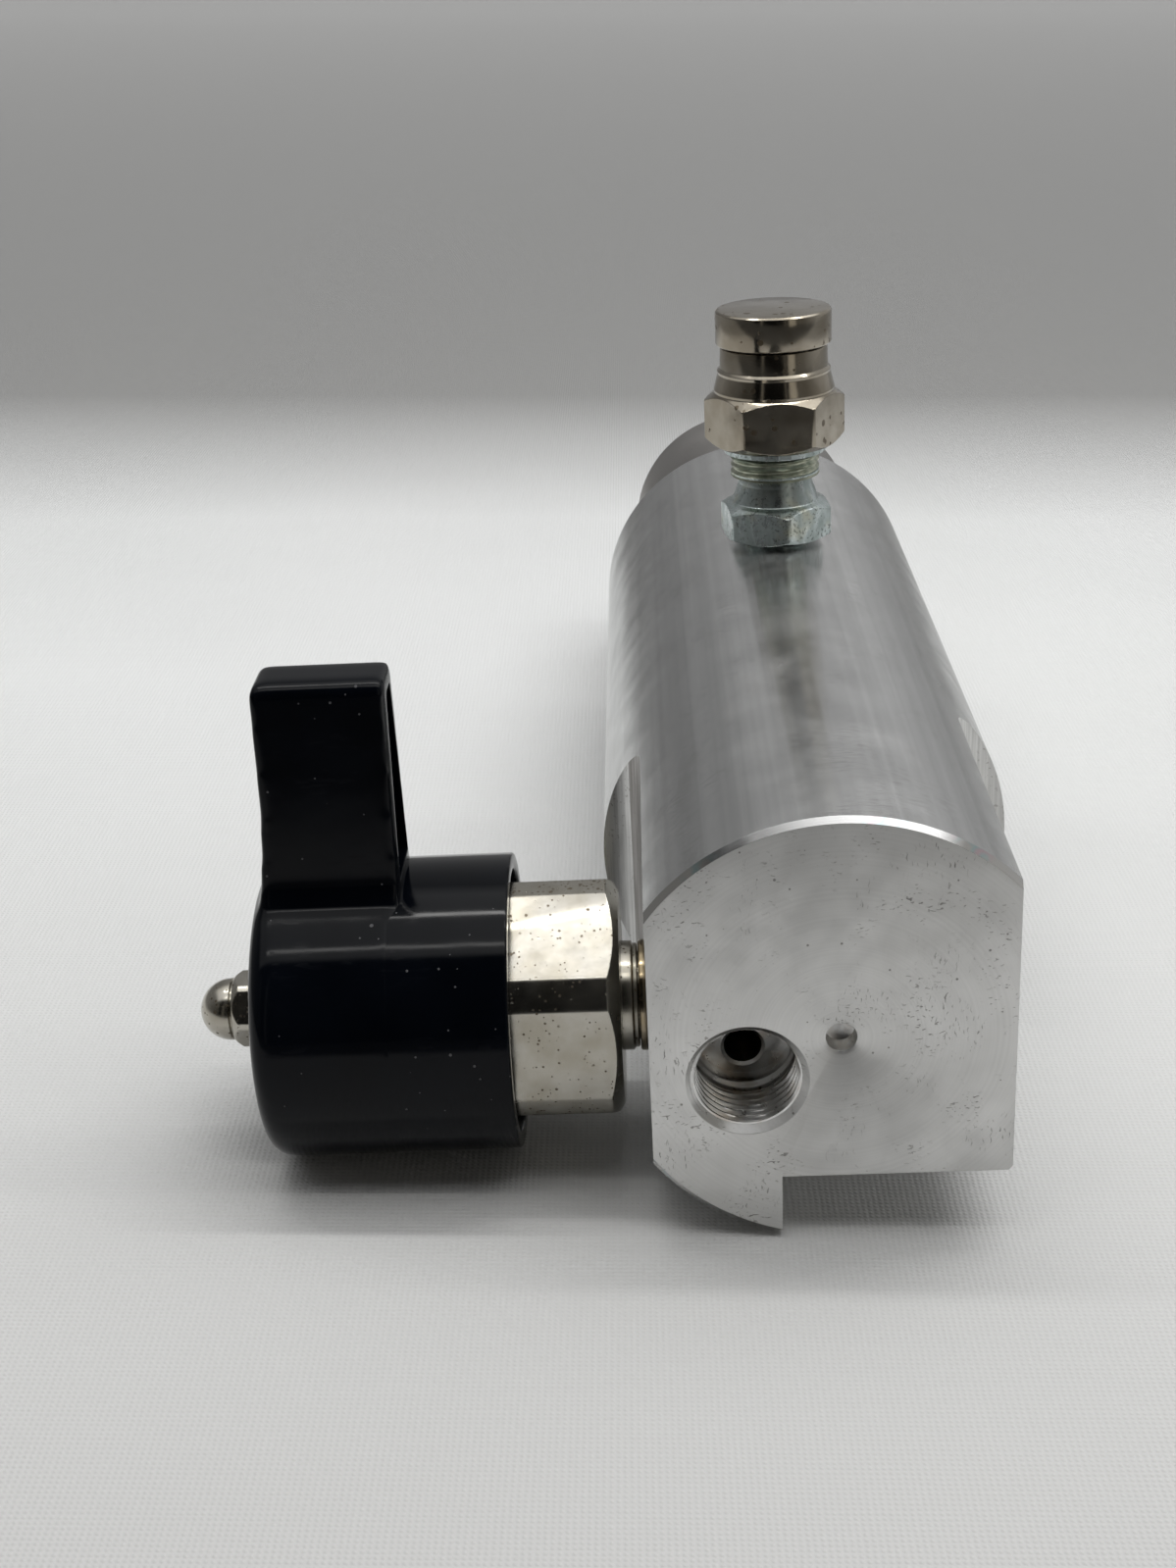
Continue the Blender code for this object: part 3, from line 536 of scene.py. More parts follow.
def olive_thread():
    """The adapter's thread: yellow-green passivation, mottled lighter and darker."""
    look = Look("olive_thread", 1.0)
    mottle = look.between(look.noise(0.0012, 3.0), 0.35, 0.65)
    colour = look.mix(mottle, (0.30, 0.33, 0.26), (0.50, 0.52, 0.42))
    look.bump(look.noise(0.0003, 2.0), 0.00001)
    return look.done(colour, look.between(mottle, 0.0, 1.0, 0.42, 0.28))


def handle_plastic():
    """Glossy near-black moulding with a trace of blue, dust and rubbed marks."""
    look = Look("handle_plastic", 0.0, 0.14)
    look.soft_edges(0.00025)
    look.bump(look.noise(0.010, 2.0), 0.00005)
    dust = look.maths("MAXIMUM", look.specks(0.0014, 0.12), look.specks(0.0037, 0.07))
    look.bump(dust, 0.00006)
    cloud = look.between(look.noise(0.012, 3.0), 0.3, 0.7)
    colour = look.mix(cloud, (0.0009, 0.0014, 0.0026), (0.0022, 0.0032, 0.0056))
    colour = look.mix(look.maths("MULTIPLY", dust, 0.5), colour, (0.20, 0.20, 0.21))
    rubbed = look.pits(0.0006, 0.60, 0.012, (1.0, 1.0, 0.25))
    roughness = look.between(look.noise(0.006, 4.0), 0.3, 0.7, 0.07, 0.12)
    return look.done(colour, look.maths("ADD", roughness, look.maths("MULTIPLY", rubbed, 0.10)))


def steel(name, low, high, roughness):
    """Ground or drawn steel with fine rings and a little oil."""
    look = Look(name, 1.0)
    look.bump(look.noise(0.00008, 2.0, at=look.polar()), 0.000003)
    cloud = look.between(look.noise(0.004, 3.0), 0.35, 0.65)
    return look.done(look.mix(cloud, low, high), look.between(cloud, 0.0, 1.0, roughness, roughness + 0.10))


def yellow_metal(name, low, high):
    """Brass or bronze with turning rings and darker patches."""
    look = Look(name, 1.0)
    look.bump(look.noise(0.00008, 2.0, at=look.polar()), 0.000004)
    cloud = look.between(look.noise(0.0018, 3.0), 0.35, 0.65)
    return look.done(look.mix(cloud, low, high), look.between(cloud, 0.0, 1.0, 0.34, 0.20))


def moulded(name, low, high, roughness):
    """Seal rubber or filled polymer: matt, with a fine grain."""
    look = Look(name, 0.0)
    grain = look.noise(0.00025, 3.0)
    look.bump(grain, 0.00002)
    cloud = look.between(look.noise(0.002, 3.0), 0.35, 0.65)
    matt = look.between(grain, 0.2, 0.8, roughness - 0.08, roughness + 0.08)
    return look.done(look.mix(cloud, low, high), matt)


looks = {
    "bar": turned_aluminium(),
    "face": faced_aluminium(),
    "chamfer": cut_chamfer(),
    "milled": milled_aluminium("milled_aluminium", (0.60, 0.60, 0.59), (0.76, 0.76, 0.75), 0.36),
    # Dark copy of the milled look: painted shade on the curved wall of the left flat's run-out.
    "run_out": milled_aluminium("run_out_painted_shade", (0.22, 0.21, 0.20), (0.34, 0.33, 0.32), 0.30),
    "port": port_metal(),
    "passage": shaded_passage_metal(),
    "gland": dark_aluminium(),
    "bonnet": nickel("bonnet_nickel", (0.40, 0.375, 0.315), (0.50, 0.48, 0.43), 0.00042, 0.17),
    "vent": nickel("vent_nickel", (0.29, 0.255, 0.20), (0.39, 0.355, 0.295), 0.0011, 0.10),
    "zinc": zinc(),
    "thread": olive_thread(),
    "plastic": handle_plastic(),
    "ground_steel": steel("ground_steel", (0.62, 0.62, 0.63), (0.74, 0.74, 0.75), 0.12),
    "spring_steel": steel("spring_steel", (0.30, 0.30, 0.31), (0.46, 0.46, 0.47), 0.26),
    "collar": nickel("collar_nickel", (0.30, 0.24, 0.15), (0.42, 0.36, 0.27), 0.0009, 0.10),
    "brass": yellow_metal("turned_brass", (0.60, 0.40, 0.14), (0.82, 0.62, 0.28)),
    "bronze": yellow_metal("bearing_bronze", (0.42, 0.26, 0.12), (0.60, 0.40, 0.20)),
    "rubber": moulded("nitrile_rubber", (0.016, 0.016, 0.017), (0.030, 0.030, 0.031), 0.60),
    "polymer": moulded("filled_polymer", (0.66, 0.64, 0.58), (0.80, 0.78, 0.72), 0.48),
}


# ---------------------------------------------------------------- body


def side_flat_cutter(side, flat, end):
    """Everything outside one side flat, ending in the quarter-round that the end mill leaves."""
    run_out = arc((flat + MILL_RADIUS, end), MILL_RADIUS, 180, 90, 24)
    outside = [(CUTTER_REACH, end + MILL_RADIUS), (CUTTER_REACH, CUTTER_START)]
    outline = [(flat, CUTTER_START), *run_out, *outside]
    return prism("side_flat", [(side * x, y) for x, y in outline], -CUTTER_HEIGHT, CUTTER_HEIGHT, UPRIGHT)


def notch_cutter():
    corner = arc((NOTCH_SIDE + MILL_RADIUS, NOTCH_END - MILL_RADIUS), MILL_RADIUS, 180, 90, 24)
    outline = [(NOTCH_SIDE, CUTTER_START), *corner, (CUTTER_REACH, NOTCH_END), (CUTTER_REACH, CUTTER_START)]
    return prism("notch", outline, -CUTTER_HEIGHT, NOTCH_HEIGHT, UPRIGHT)


def port_cutters():
    """The inlet's thread, its bright mouth chamfer, the stepped relief behind it and the off-centre hole."""
    thread = threaded_rod(
        "port_thread", 0.00625, 0.00060, 0.00105, -0.0005, 0.0072, PORT_AXIS, taper=0.03, sides=96
    )
    mouth_section = [(0, -0.001), (0.0076, -0.001), (0.00662, 0.0), (0.00585, 0.00075), (0, 0.00075)]
    mouth = turned("port_mouth", mouth_section, PORT_AXIS)
    relief_section = [
        (0, 0.0060),
        (0.0058, 0.0060),
        (0.0058, 0.0080, 0.0003),
        (0.0053, 0.0084, 0.0003),
        (0.0053, PORT_DEPTH),
        (0, PORT_DEPTH),
    ]
    relief = turned("port_relief", relief_section, PORT_AXIS)
    rim = PASSAGE_RADIUS + 0.00035
    passage_section = [
        (0, PORT_DEPTH - 0.0005),
        (rim, PORT_DEPTH - 0.0005),
        (rim, PORT_DEPTH),
        (PASSAGE_RADIUS, PORT_DEPTH + 0.0003),
        (PASSAGE_RADIUS, PASSAGE_END),
        (0, PASSAGE_END),
    ]
    off_centre = Matrix.Translation((0.0, 0.0, -PASSAGE_DROP)) @ PORT_AXIS
    return thread, mouth, relief, turned("port_passage", passage_section, off_centre)


def inlet_kind(depth, from_inlet):
    """The inlet's mouth ring, its thread and relief, and the passage behind them."""
    if depth > PORT_DEPTH + 0.0002:
        return "passage"
    on_mouth_ring = depth < 0.0007 and from_inlet > 0.0059
    return "face" if on_mouth_ring else "port"


def face_kind(centre, normal):
    """The finish, or the painted shade, of one of the body's faces, from its place and direction in upright
    coordinates.
    """
    from_inlet = Vector((centre.x - (PORT.x - BORE.x), 0.0, centre.z - (PORT.z - BORE.z))).length
    reach = Vector((centre.x, 0.0, centre.z)).length
    from_end = min(centre.y, BODY_LENGTH - centre.y)
    if from_inlet < 0.0067 and 0.00002 < centre.y < 0.030 and reach < CHAMBER_RADIUS:
        return inlet_kind(centre.y, from_inlet)
    if reach < 0.0030 and centre.y < 0.0040:
        return "port" if centre.y > 0.0001 else "face"
    if abs(normal.y) > 0.99 and abs(centre.y - RUN_OUT_MIDDLE) > 0.0040:
        return "face"
    if reach > BODY_RADIUS - BODY_CHAMFER - 0.0001 and abs(normal.y) > 0.4 and from_end < 0.001:
        return "chamfer"
    if reach > BODY_RADIUS - 0.0003:
        return "bar"
    # The left run-out's faces that turn sideways get the dark copy: painted shade on the curve.
    in_run_out = centre.x < 0.0 and LEFT_FLAT_END < centre.y < LEFT_FLAT_END + MILL_RADIUS
    return "run_out" if in_run_out and abs(normal.x) > 0.74 else "milled"


def make_body():
    section = [
        (0, 0),
        (BODY_RADIUS - BODY_CHAMFER, 0.0),
        (BODY_RADIUS, BODY_CHAMFER),
        (BODY_RADIUS, BODY_LENGTH - BODY_CHAMFER),
        (BODY_RADIUS - BODY_CHAMFER, BODY_LENGTH),
        (CHAMBER_RADIUS + 0.0005, BODY_LENGTH),
        (CHAMBER_RADIUS + 0.00005, BODY_LENGTH - 0.0005),
        (CHAMBER_RADIUS + 0.00005, PISTON_STOP),
        (RESERVOIR_RADIUS, PISTON_STOP),
        (RESERVOIR_RADIUS, RESERVOIR_START),
        (0, RESERVOIR_START),
    ]
    body = turned("body", section, BORE_AXIS, 256)
    rim = [(0, -0.0005), (0.0023, -0.0005), (0.00215, 0.0), (0.00165, 0.00022)]
    drill = [*rim, (0.0016, 0.0024), (0, 0.0030)]
    cut(
        body,
        side_flat_cutter(-1, LEFT_FLAT, LEFT_FLAT_END),
        side_flat_cutter(1, RIGHT_FLAT, RIGHT_FLAT_END),
        notch_cutter(),
        turned("centre_hole", drill, BORE_AXIS),
        rod("valve_bore", 0.0052, -0.0165, 0.004, VALVE_AXIS),
        rod("vent_hole", 0.0049, 0.010, 0.030, VENT_AXIS),
        *port_cutters(),
    )
    finishes_and_shades = ["bar", "face", "chamfer", "milled", "run_out", "port", "passage"]
    place(body, "cylinder_body", "housing", "machined_aluminium", *[looks[name] for name in finishes_and_shades])
    to_upright = UPRIGHT.inverted() @ BORE_AXIS
    for face in body.data.polygons:
        kind = face_kind(to_upright @ face.center, to_upright.to_3x3() @ face.normal)
        face.material_index = finishes_and_shades.index(kind)


def make_gland():
    """The rod end: a turned gland with a shallow groove and two spanner holes, and its wiper."""
    end = gland_high.y - BORE.y
    start = BODY_LENGTH + 0.0003
    radius = (gland_high.z - gland_low.z) / 2
    section = [
        (SPRING_POCKET_RADIUS, start - 0.0118),
        (0.0185, start - 0.0118),
        (0.0189, start - 0.0112),
        (0.0189, start),
        (radius, start, 0.0004),
        (radius, start + 0.0150, 0.0001),
        (radius - 0.0004, start + 0.0154, 0.0001),
        (radius - 0.0004, start + 0.0166, 0.0001),
        (radius, start + 0.0170, 0.0001),
        (radius, end, 0.0010),
        (0.0092, end, 0.0003),
        (0.0092, end - 0.0194),
        (SPRING_POCKET_RADIUS, end - 0.0194),
    ]
    gland = turned("gland", section, BORE_AXIS, FINE)
    holes = []
    for side in (-1, 1):
        centre = Matrix.Translation(BORE + Vector((side * 0.0150, 0.0, 0.0))) @ TOWARDS_Y
        holes.append(rod("spanner_hole", 0.0016, end - 0.005, end + 0.002, centre))
    cut(gland, *holes)
    place(gland, "rod_end_gland", "housing", "dark_aluminium", looks["gland"])

    lip = [
        (0.0061, end - 0.0026),
        (0.0090, end - 0.0026),
        (0.0090, end - 0.0001, 0.0003),
        (0.0076, end + 0.0002, 0.0003),
        (0.0061, end + 0.0014, 0.0002),
    ]
    wiper = turned("wiper", lip, BORE_AXIS)
    place(wiper, "rod_wiper", "housing", "seal_polymer", looks["polymer"])


def make_rod():
    """The rod with its stud inside the piston, its threaded pin, and the nut on the pin."""
    tip = rod_high.y - BORE.y
    stud, pin = 0.0040, 0.0049
    section = [
        (0, 0.0966),
        (stud, 0.0966, 0.0006),
        (stud, 0.1199),
        (ROD_RADIUS, 0.1199, 0.0003),
        (ROD_RADIUS, tip - 0.0155, 0.0002),
        (pin, tip - 0.0145, 0.0002),
        (pin, tip - 0.0138),
        (0, tip - 0.0138),
    ]
    shaft = turned("rod", section, BORE_AXIS, MEDIUM)
    thread = threaded_rod("rod_thread", pin, 0.00045, 0.00125, tip - 0.0140, tip - 0.0006, BORE_AXIS)
    nose_section = [(0, tip - 0.0008), (0.0047, tip - 0.0008), (0.0041, tip, 0.0002), (0, tip)]
    join(shaft, thread, turned("rod_nose", nose_section, BORE_AXIS))
    place(shaft, "piston_rod", "piston_and_rod", "ground_steel", looks["ground_steel"])

    flats, bottom, top = 0.0170, 0.2039, 0.2099
    nut = hex_piece("rod_nut", flats, 0.0, nut_envelope(flats, bottom, top), BORE_AXIS)
    hole = [
        (0, bottom - 0.0039),
        (0.0062, bottom - 0.0039),
        (0.0062, bottom - 0.0001),
        (0.0050, bottom + 0.0011),
        (0.0050, top - 0.0011),
        (0.0062, top + 0.0001),
        (0.0062, top + 0.0031),
        (0, top + 0.0031),
    ]
    cut(nut, turned("hole", hole, BORE_AXIS))
    place(nut, "rod_end_nut", "piston_and_rod", "nickel_plate", looks["vent"])


def nut_envelope(flats, bottom, top):
    corner = flats / math.sqrt(3) - 0.0001
    washer_face = flats * 0.47
    slope = 0.0007
    lower = [(0, bottom), (washer_face, bottom), (corner, bottom + slope)]
    return [*lower, (corner, top - slope), (washer_face, top), (0, top)]


# ---------------------------------------------------------------- valve and handle


def make_bonnet():
    outer = 0.01425
    envelope = [
        (0, -0.0038),
        (0.00505, -0.0038),
        (0.00505, 0.0011),
        (0.0060, 0.0011, 0.0002),
        (0.0060, 0.0016, 0.0002),
        (0.0063, 0.0018, 0.0001),
        (0.0063, 0.0030),
        (0.0122, 0.0030, 0.0002),
        (outer, 0.0043, 0.0002),
        (outer, 0.0227, 0.0002),
        (0.0126, 0.0237, 0.0002),
        (0, 0.0237),
    ]
    bonnet = hex_piece("bonnet", 0.0263, 0.0, envelope, VALVE_AXIS)
    bore = [(0, -0.006), (0.0032, -0.006), (0.0032, 0.0197), (0.0050, 0.0197), (0.0050, 0.026), (0, 0.026)]
    cut(bonnet, turned("bore", bore, VALVE_AXIS))
    place(bonnet, "valve_bonnet", "housing", "nickel_plate", looks["bonnet"])
    collar = [(0.0052, 0.0001), (0.0064, 0.0001, 0.0002), (0.0064, 0.0010, 0.0002), (0.0052, 0.0010)]
    place(turned("seal_ring", collar, VALVE_AXIS), "valve_seal_ring", "housing", "brass", looks["collar"])


def wing_outline(root_half, tip_half, reach, corner):
    """The wing seen along the valve axis: local x is up, local y runs along the cylinder."""
    return [
        (0.0030, -root_half),
        *arc((reach - corner, -tip_half + corner), corner, -90, 0, 12),
        *arc((reach - corner, tip_half - corner), corner, 0, 90, 12),
        (0.0030, root_half),
    ]


def filleted_wing_outline():
    """The wing's outline with a hollow curve on both sides, where it grows out of the drum."""
    outline = wing_outline(WING_ROOT_HALF, WING_TIP_HALF, WING_REACH, 0.0016)
    away = WING_ROOT_HALF - 0.0010 + WING_FILLET
    up = math.sqrt((DRUM_RADIUS - 0.0002 + WING_FILLET) ** 2 - away**2)
    start = 180 - math.degrees(math.atan2(away, up))
    curve = arc((up, -away), WING_FILLET, start, 94, 12)
    mirrored = [(x, -y) for x, y in reversed(curve)]
    return [outline[0], *curve, *outline[1:-1], *mirrored, outline[-1]]


def wing_side_outline(inset, start):
    """The wing seen along the cylinder, as (up, outwards), with its outer face sweeping into the drum."""
    reach = WING_REACH - inset
    outer_face = [
        (0.0, 0.0439),
        (0.0060, 0.0439, 0.01),
        (0.0120, 0.0431, 0.02),
        (0.0170, 0.0424, 0.02),
        (0.0220, 0.0418, 0.02),
        (0.0270, 0.0415, 0.02),
        (reach, 0.0414, 0.0012),
    ]
    shifted = [(point[0], point[1] - inset, *point[2:]) for point in outer_face]
    return [(0.0, start), *shifted, (reach, start)]


def wing_block(name, outline, side_outline):
    plan = prism(name, outline, 0.018, DRUM_END + 0.001, VALVE_AXIS)
    across = VALVE_AXIS @ Matrix.Rotation(math.pi / 2, 4, "X")
    return keep_common(plan, prism("side", side_outline, -0.013, 0.013, across))


def softened(shape, voxel, passes):
    """One skin over everything, relaxed so that each edge and hollow gets a moulding's soft radius."""
    remesh = shape.modifiers.new("one_skin", "REMESH")
    remesh.mode = "VOXEL"
    remesh.voxel_size = voxel
    relax = shape.modifiers.new("relax", "SMOOTH")
    relax.factor = 0.5
    relax.iterations = passes
    apply_modifiers(shape)
    return shape


def make_moulding():
    """The drum's end and the wing, as one soft moulding that isn't hollowed yet."""
    wing = wing_block("wing", filleted_wing_outline(), wing_side_outline(0.0, WING_START))
    drum = [
        (0, SKIRT_END - 0.0012),
        (DRUM_RADIUS, SKIRT_END - 0.0012),
        (DRUM_RADIUS, DRUM_END - 0.0009, 0.0022),
        (0.0120, DRUM_END - 0.0004, 0.01),
        (0.0060, DRUM_END - 0.0001, 0.01),
        (0, DRUM_END),
    ]
    return softened(join(turned("handle", drum, VALVE_AXIS, FINE), wing), 0.00035, 30)


def make_handle():
    """The hollowed moulding, and the open skirt that meets it at a faint step."""
    moulding = make_moulding()
    hollow = [
        (0, 0.014),
        (SKIRT_INNER_RADIUS, 0.014),
        (SKIRT_INNER_RADIUS, 0.0375, 0.001),
        (0.0138, 0.0400, 0.001),
        (HUB_RADIUS, 0.0400),
        (HUB_RADIUS, SKIRT_END),
        (0, SKIRT_END),
    ]
    root_half, tip_half, reach = (size - WING_WALL for size in (WING_ROOT_HALF, WING_TIP_HALF, WING_REACH))
    inner = wing_outline(root_half, tip_half, reach, 0.0010)
    inner = [(max(x, DRUM_RADIUS + 0.0007), y) for x, y in inner]
    pocket = wing_block("pocket", inner, wing_side_outline(WING_WALL, 0.0200))
    cut(
        moulding,
        turned("hollow", hollow, VALVE_AXIS, MEDIUM),
        pocket,
        rod("bore", 0.0032, 0.020, 0.050, VALVE_AXIS),
        rod("recess", 0.0051, 0.0422, 0.050, VALVE_AXIS),
    )

    rim = DRUM_RADIUS - 0.00008
    skirt_section = [
        (SKIRT_INNER_RADIUS, 0.0150, 0.0002),
        (rim, 0.0150, 0.0003),
        (rim, SKIRT_END),
        (SKIRT_INNER_RADIUS, SKIRT_END),
    ]
    skirt = turned("handle_skirt", skirt_section, VALVE_AXIS, FINE)
    place(moulding, "lever_handle", "handle", "black_plastic", looks["plastic"])
    place(skirt, "lever_handle", "handle", "black_plastic", looks["plastic"])


def make_cap_nut():
    flats = 0.0080
    bottom, hex_top, tip, dome = 0.0425, 0.0478, 0.0520, 0.0036
    corner = flats / math.sqrt(3) - 0.0002
    neck = dome - 0.0003
    envelope = [
        (0, bottom),
        (corner, bottom, 0.0002),
        (corner, hex_top - 0.0008),
        (dome + 0.0003, hex_top, 0.0002),
        (neck, hex_top + 0.0001),
        (neck, hex_top + 0.0003),
        (dome, hex_top + 0.0004),
        *arc((0.0, tip - dome), dome, 0, 84, 14),
        (0, tip),
    ]
    nut = hex_piece("cap_nut", flats, 30.0, envelope, VALVE_AXIS)
    cut(nut, rod("hole", 0.0026, bottom - 0.001, 0.0500, VALVE_AXIS))
    place(nut, "handle_cap_nut", "handle", "nickel_plate", looks["bonnet"])


# ---------------------------------------------------------------- vent


def make_adapter():
    """The plated hexagon nipple between the bar and the vent, and its thread."""
    flats, hex_bottom, hex_top, neck_top = 0.0143, 0.0260, 0.0310, 0.0347
    corner = flats / math.sqrt(3) - 0.0001
    edge, shank, spigot = 0.0069, 0.00475, 0.0049
    envelope = [
        (0, 0.0176),
        (0.0046, 0.0176),
        (shank, 0.0246),
        (shank, hex_bottom),
        (edge, hex_bottom, 0.0002),
        (corner, hex_bottom + 0.0007, 0.0002),
        (corner, hex_top - 0.0008, 0.0002),
        (edge, hex_top, 0.0002),
        (0.0061, hex_top + 0.0003, 0.0003),
        (0.0052, 0.0338, 0.0004),
        (0.0051, neck_top),
        (spigot, neck_top + 0.0003),
        (0, neck_top + 0.0003),
    ]
    adapter = hex_piece("adapter", flats, -82.0, envelope, VENT_AXIS)
    stub = [
        (0, neck_top - 0.0002),
        (0.0062, 0.0353, 0.0001),
        (0.0062, 0.0356),
        (spigot, 0.0356),
        (spigot, 0.0432),
        (0, 0.0432),
    ]
    join(adapter, turned("stub", stub, VENT_AXIS))
    bore = [(0, 0.0156), (0.0026, 0.0156), (0.0026, 0.0370), (0.0040, 0.0380), (0.0040, 0.0450), (0, 0.0450)]
    cut(adapter, turned("adapter_bore", bore, VENT_AXIS))
    place(adapter, "vent_adapter", "housing", "zinc_plate", looks["zinc"])
    thread = threaded_rod("adapter_thread", 0.00625, 0.00035, 0.0010, 0.0350, 0.0396, VENT_AXIS)
    cut(thread, turned("thread_bore", bore, VENT_AXIS))
    place(thread, "vent_adapter", "housing", "zinc_plate", looks["thread"])


def make_vent():
    """The vent's hexagon with its stepped barrel, and the button that caps it."""
    flats, hex_bottom, hex_top = 0.0171, 0.0394, 0.0468
    corner = flats / math.sqrt(3) - 0.0001
    edge = 0.0083
    envelope = [
        (0, hex_bottom),
        (edge, hex_bottom, 0.0002),
        (corner, hex_bottom + 0.0011, 0.0003),
        (corner, hex_top - 0.0011, 0.0003),
        (edge, hex_top, 0.0002),
        (0.0084, 0.0472, 0.0002),
        (0.0078, 0.0494, 0.0001),
        (0.0079, 0.0498, 0.0001),
        (0.0075, 0.0502, 0.0001),
        (0.0074, 0.0531, 0.0002),
        (0, 0.0531),
    ]
    vent = hex_piece("vent", flats, 0.0, envelope, VENT_AXIS)
    bore = [
        (0, 0.038),
        (0.0051, 0.038),
        (0.0051, 0.0435),
        (0.0020, 0.0435),
        (0.0020, BUTTON_SPRING_START - 0.0002),
        (0.0062, BUTTON_SPRING_START - 0.0002),
        (0.0062, 0.056),
        (0, 0.056),
    ]
    cut(vent, turned("bore", bore, VENT_AXIS))
    place(vent, "vent_body", "housing", "nickel_plate", looks["vent"])

    radius, top, bottom, inside = 0.0080, 0.0581, 0.0534, 0.0075
    cap = [
        (0, top),
        (radius, top, 0.0005),
        (radius, bottom, 0.0002),
        (inside, bottom),
        (inside, 0.0565),
        (0, 0.0565),
    ]
    button = turned("button", cap, VENT_AXIS, FINE)
    place(button, "vent_button", "button", "nickel_plate", looks["vent"])


# ---------------------------------------------------------------- springs


def coil_spring(name, coil_radius, wire_radius, start, end, turns, axis):
    """A round wire wound into a helix between two heights."""
    steps, sides = int(turns * 40), 12
    rise = end - start - 2 * wire_radius
    upwards = Vector((0.0, 0.0, 1.0))
    around = [2 * math.pi * side / sides for side in range(sides)]
    bm = bmesh.new()
    rings = []
    for step in range(steps + 1):
        turn = 2 * math.pi * turns * step / steps
        radial = Vector((math.cos(turn), math.sin(turn), 0.0))
        middle = radial * coil_radius + upwards * (start + wire_radius + rise * step / steps)
        ring = [middle + wire_radius * (radial * math.cos(a) + upwards * math.sin(a)) for a in around]
        rings.append([bm.verts.new(point) for point in ring])
    for near, far in zip(rings, rings[1:]):
        for side in range(sides):
            after = (side + 1) % sides
            bm.faces.new((near[side], near[after], far[after], far[side]))
    bm.faces.new(rings[0])
    bm.faces.new(rings[-1])
    return finished(bm, name, axis)


def shorten(piece):
    """Gives the spring a mesh of its own."""
    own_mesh(piece)


def make_springs():
    first, last = RETURN_SPRING_START, RETURN_SPRING_END
    spring = coil_spring("return_coil", 0.0105, 0.0011, first, last, 6, BORE_AXIS)
    place(spring, "return_spring", "housing", "spring_steel", looks["spring_steel"])
    shorten(spring)
    first, last = BUTTON_SPRING_START, BUTTON_SPRING_END
    spring = coil_spring("vent_coil", 0.0046, 0.0004, first, last, 4.5, VENT_AXIS)
    place(spring, "vent_button_spring", "housing", "spring_steel", looks["spring_steel"])
    shorten(spring)


# ---------------------------------------------------------------- pieces that stay as the CAD made them

INNER_LOOKS = {
    "rubber": ["gland_seal_ring", "rod_seal", "front_bumper", "stem_seal_inner", "stem_seal_outer",
               "piston_seal_front", "piston_seal_rear", "vent_poppet_seal"],
    "bronze": ["rod_bushing"],
    "polymer": ["stem_packing", "piston_wear_ring"],
    "zinc": ["vent_washer"],
    "bar": ["piston"],
    "spring_steel": ["piston_nut", "stem_washer", "stem_retaining_clip"],
    "ground_steel": ["valve_stem"],
    "brass": ["valve_plug", "vent_plunger"],
}


def dress_inner_pieces():
    for look, names in INNER_LOOKS.items():
        for name in names:
            node = frame["nodes"][name]
            node.data.materials.clear()
            node.data.materials.append(looks[look])


# ---------------------------------------------------------------- stage, light and camera


def cloth_colour(look):
    """White cloth round the object, dimmer towards the front, a greyer backdrop behind and far to the sides, and
    dark in front; the dimming, the backdrop and the dark are painted shade.
    """
    parts = look.node("SeparateXYZ", {"Vector": look.place}).outputs
    wander = look.between(look.noise(0.25, 2.0), 0.0, 1.0, -0.012, 0.012)
    along = look.maths("ADD", parts[1], wander)
    across = look.maths("ABSOLUTE", parts[0])
    cloth = look.mix(look.between(look.noise(0.06, 3.0), 0.3, 0.7), (0.86, 0.87, 0.868), (0.89, 0.90, 0.898))
    # Painted shade: the cloth dims towards the front.
    cloth = look.mix(look.between(along, -0.13, 0.10), (0.64, 0.64, 0.635), cloth)
    # Painted shade: a greyer backdrop behind and far to the sides, for the tent's dimmer walls.
    backdrop = look.mix(look.between(along, 0.4, 2.4), (0.385, 0.385, 0.38), (0.56, 0.56, 0.555))
    edge = look.maths("MAXIMUM", look.between(along, 0.205, 0.335), look.between(across, 0.26, 0.36))
    shade = look.mix(edge, cloth, backdrop)
    # Painted shade: dark beyond the cloth's near end.
    return look.mix(look.between(along, -0.175, -0.225), shade, (0.09, 0.09, 0.09))


def make_floor():
    """A pale cloth under the body and the handle's drum, so it leans a little."""
    drum_bottom = VALVE.z - DRUM_RADIUS
    lean = math.atan2(drum_bottom, BORE.x - (VALVE.x - 0.0411))
    floor_normal = Vector((math.sin(lean), 0.0, math.cos(lean)))
    middle = BORE - floor_normal * BODY_RADIUS + Vector((0.0, BODY_LENGTH / 2, 0.0))
    bm = bmesh.new()
    bmesh.ops.create_grid(bm, x_segments=8, y_segments=8, size=4.0)
    floor = finished(bm, "floor", Matrix.Translation(middle) @ Matrix.Rotation(lean, 4, "Y"))
    look = Look("floor_cloth", 0.0, 0.2)
    shade = cloth_colour(look)
    threads = {"Vector": look.place, "Scale": 480.0, "Distortion": 0.6}
    warp = look.node("TexWave", threads, bands_direction="X").outputs[1]
    weft = look.node("TexWave", threads, bands_direction="Y").outputs[1]
    look.bump(look.maths("MULTIPLY", warp, weft), 0.0002, 0.5)
    floor.data.materials.append(look.done(shade, 0.85))


def add_strip(name, elevation, width, radiance):
    """A light bar in the tent's ceiling, at an elevation seen from the handle, with 90 degrees overhead."""
    rise = 0.40
    length = 0.56
    angle = math.radians(elevation)
    light = bpy.data.lights.new(name, "AREA")
    light.shape = "RECTANGLE"
    light.size = length
    light.size_y = width
    light.energy = math.pi * radiance * length * width
    light.color = (1.0, 0.99, 0.97)
    strip = bpy.data.objects.new(name, light)
    strip.location = VALVE + Vector((0.08, -rise / math.tan(angle), rise))
    bpy.context.scene.collection.objects.link(strip)


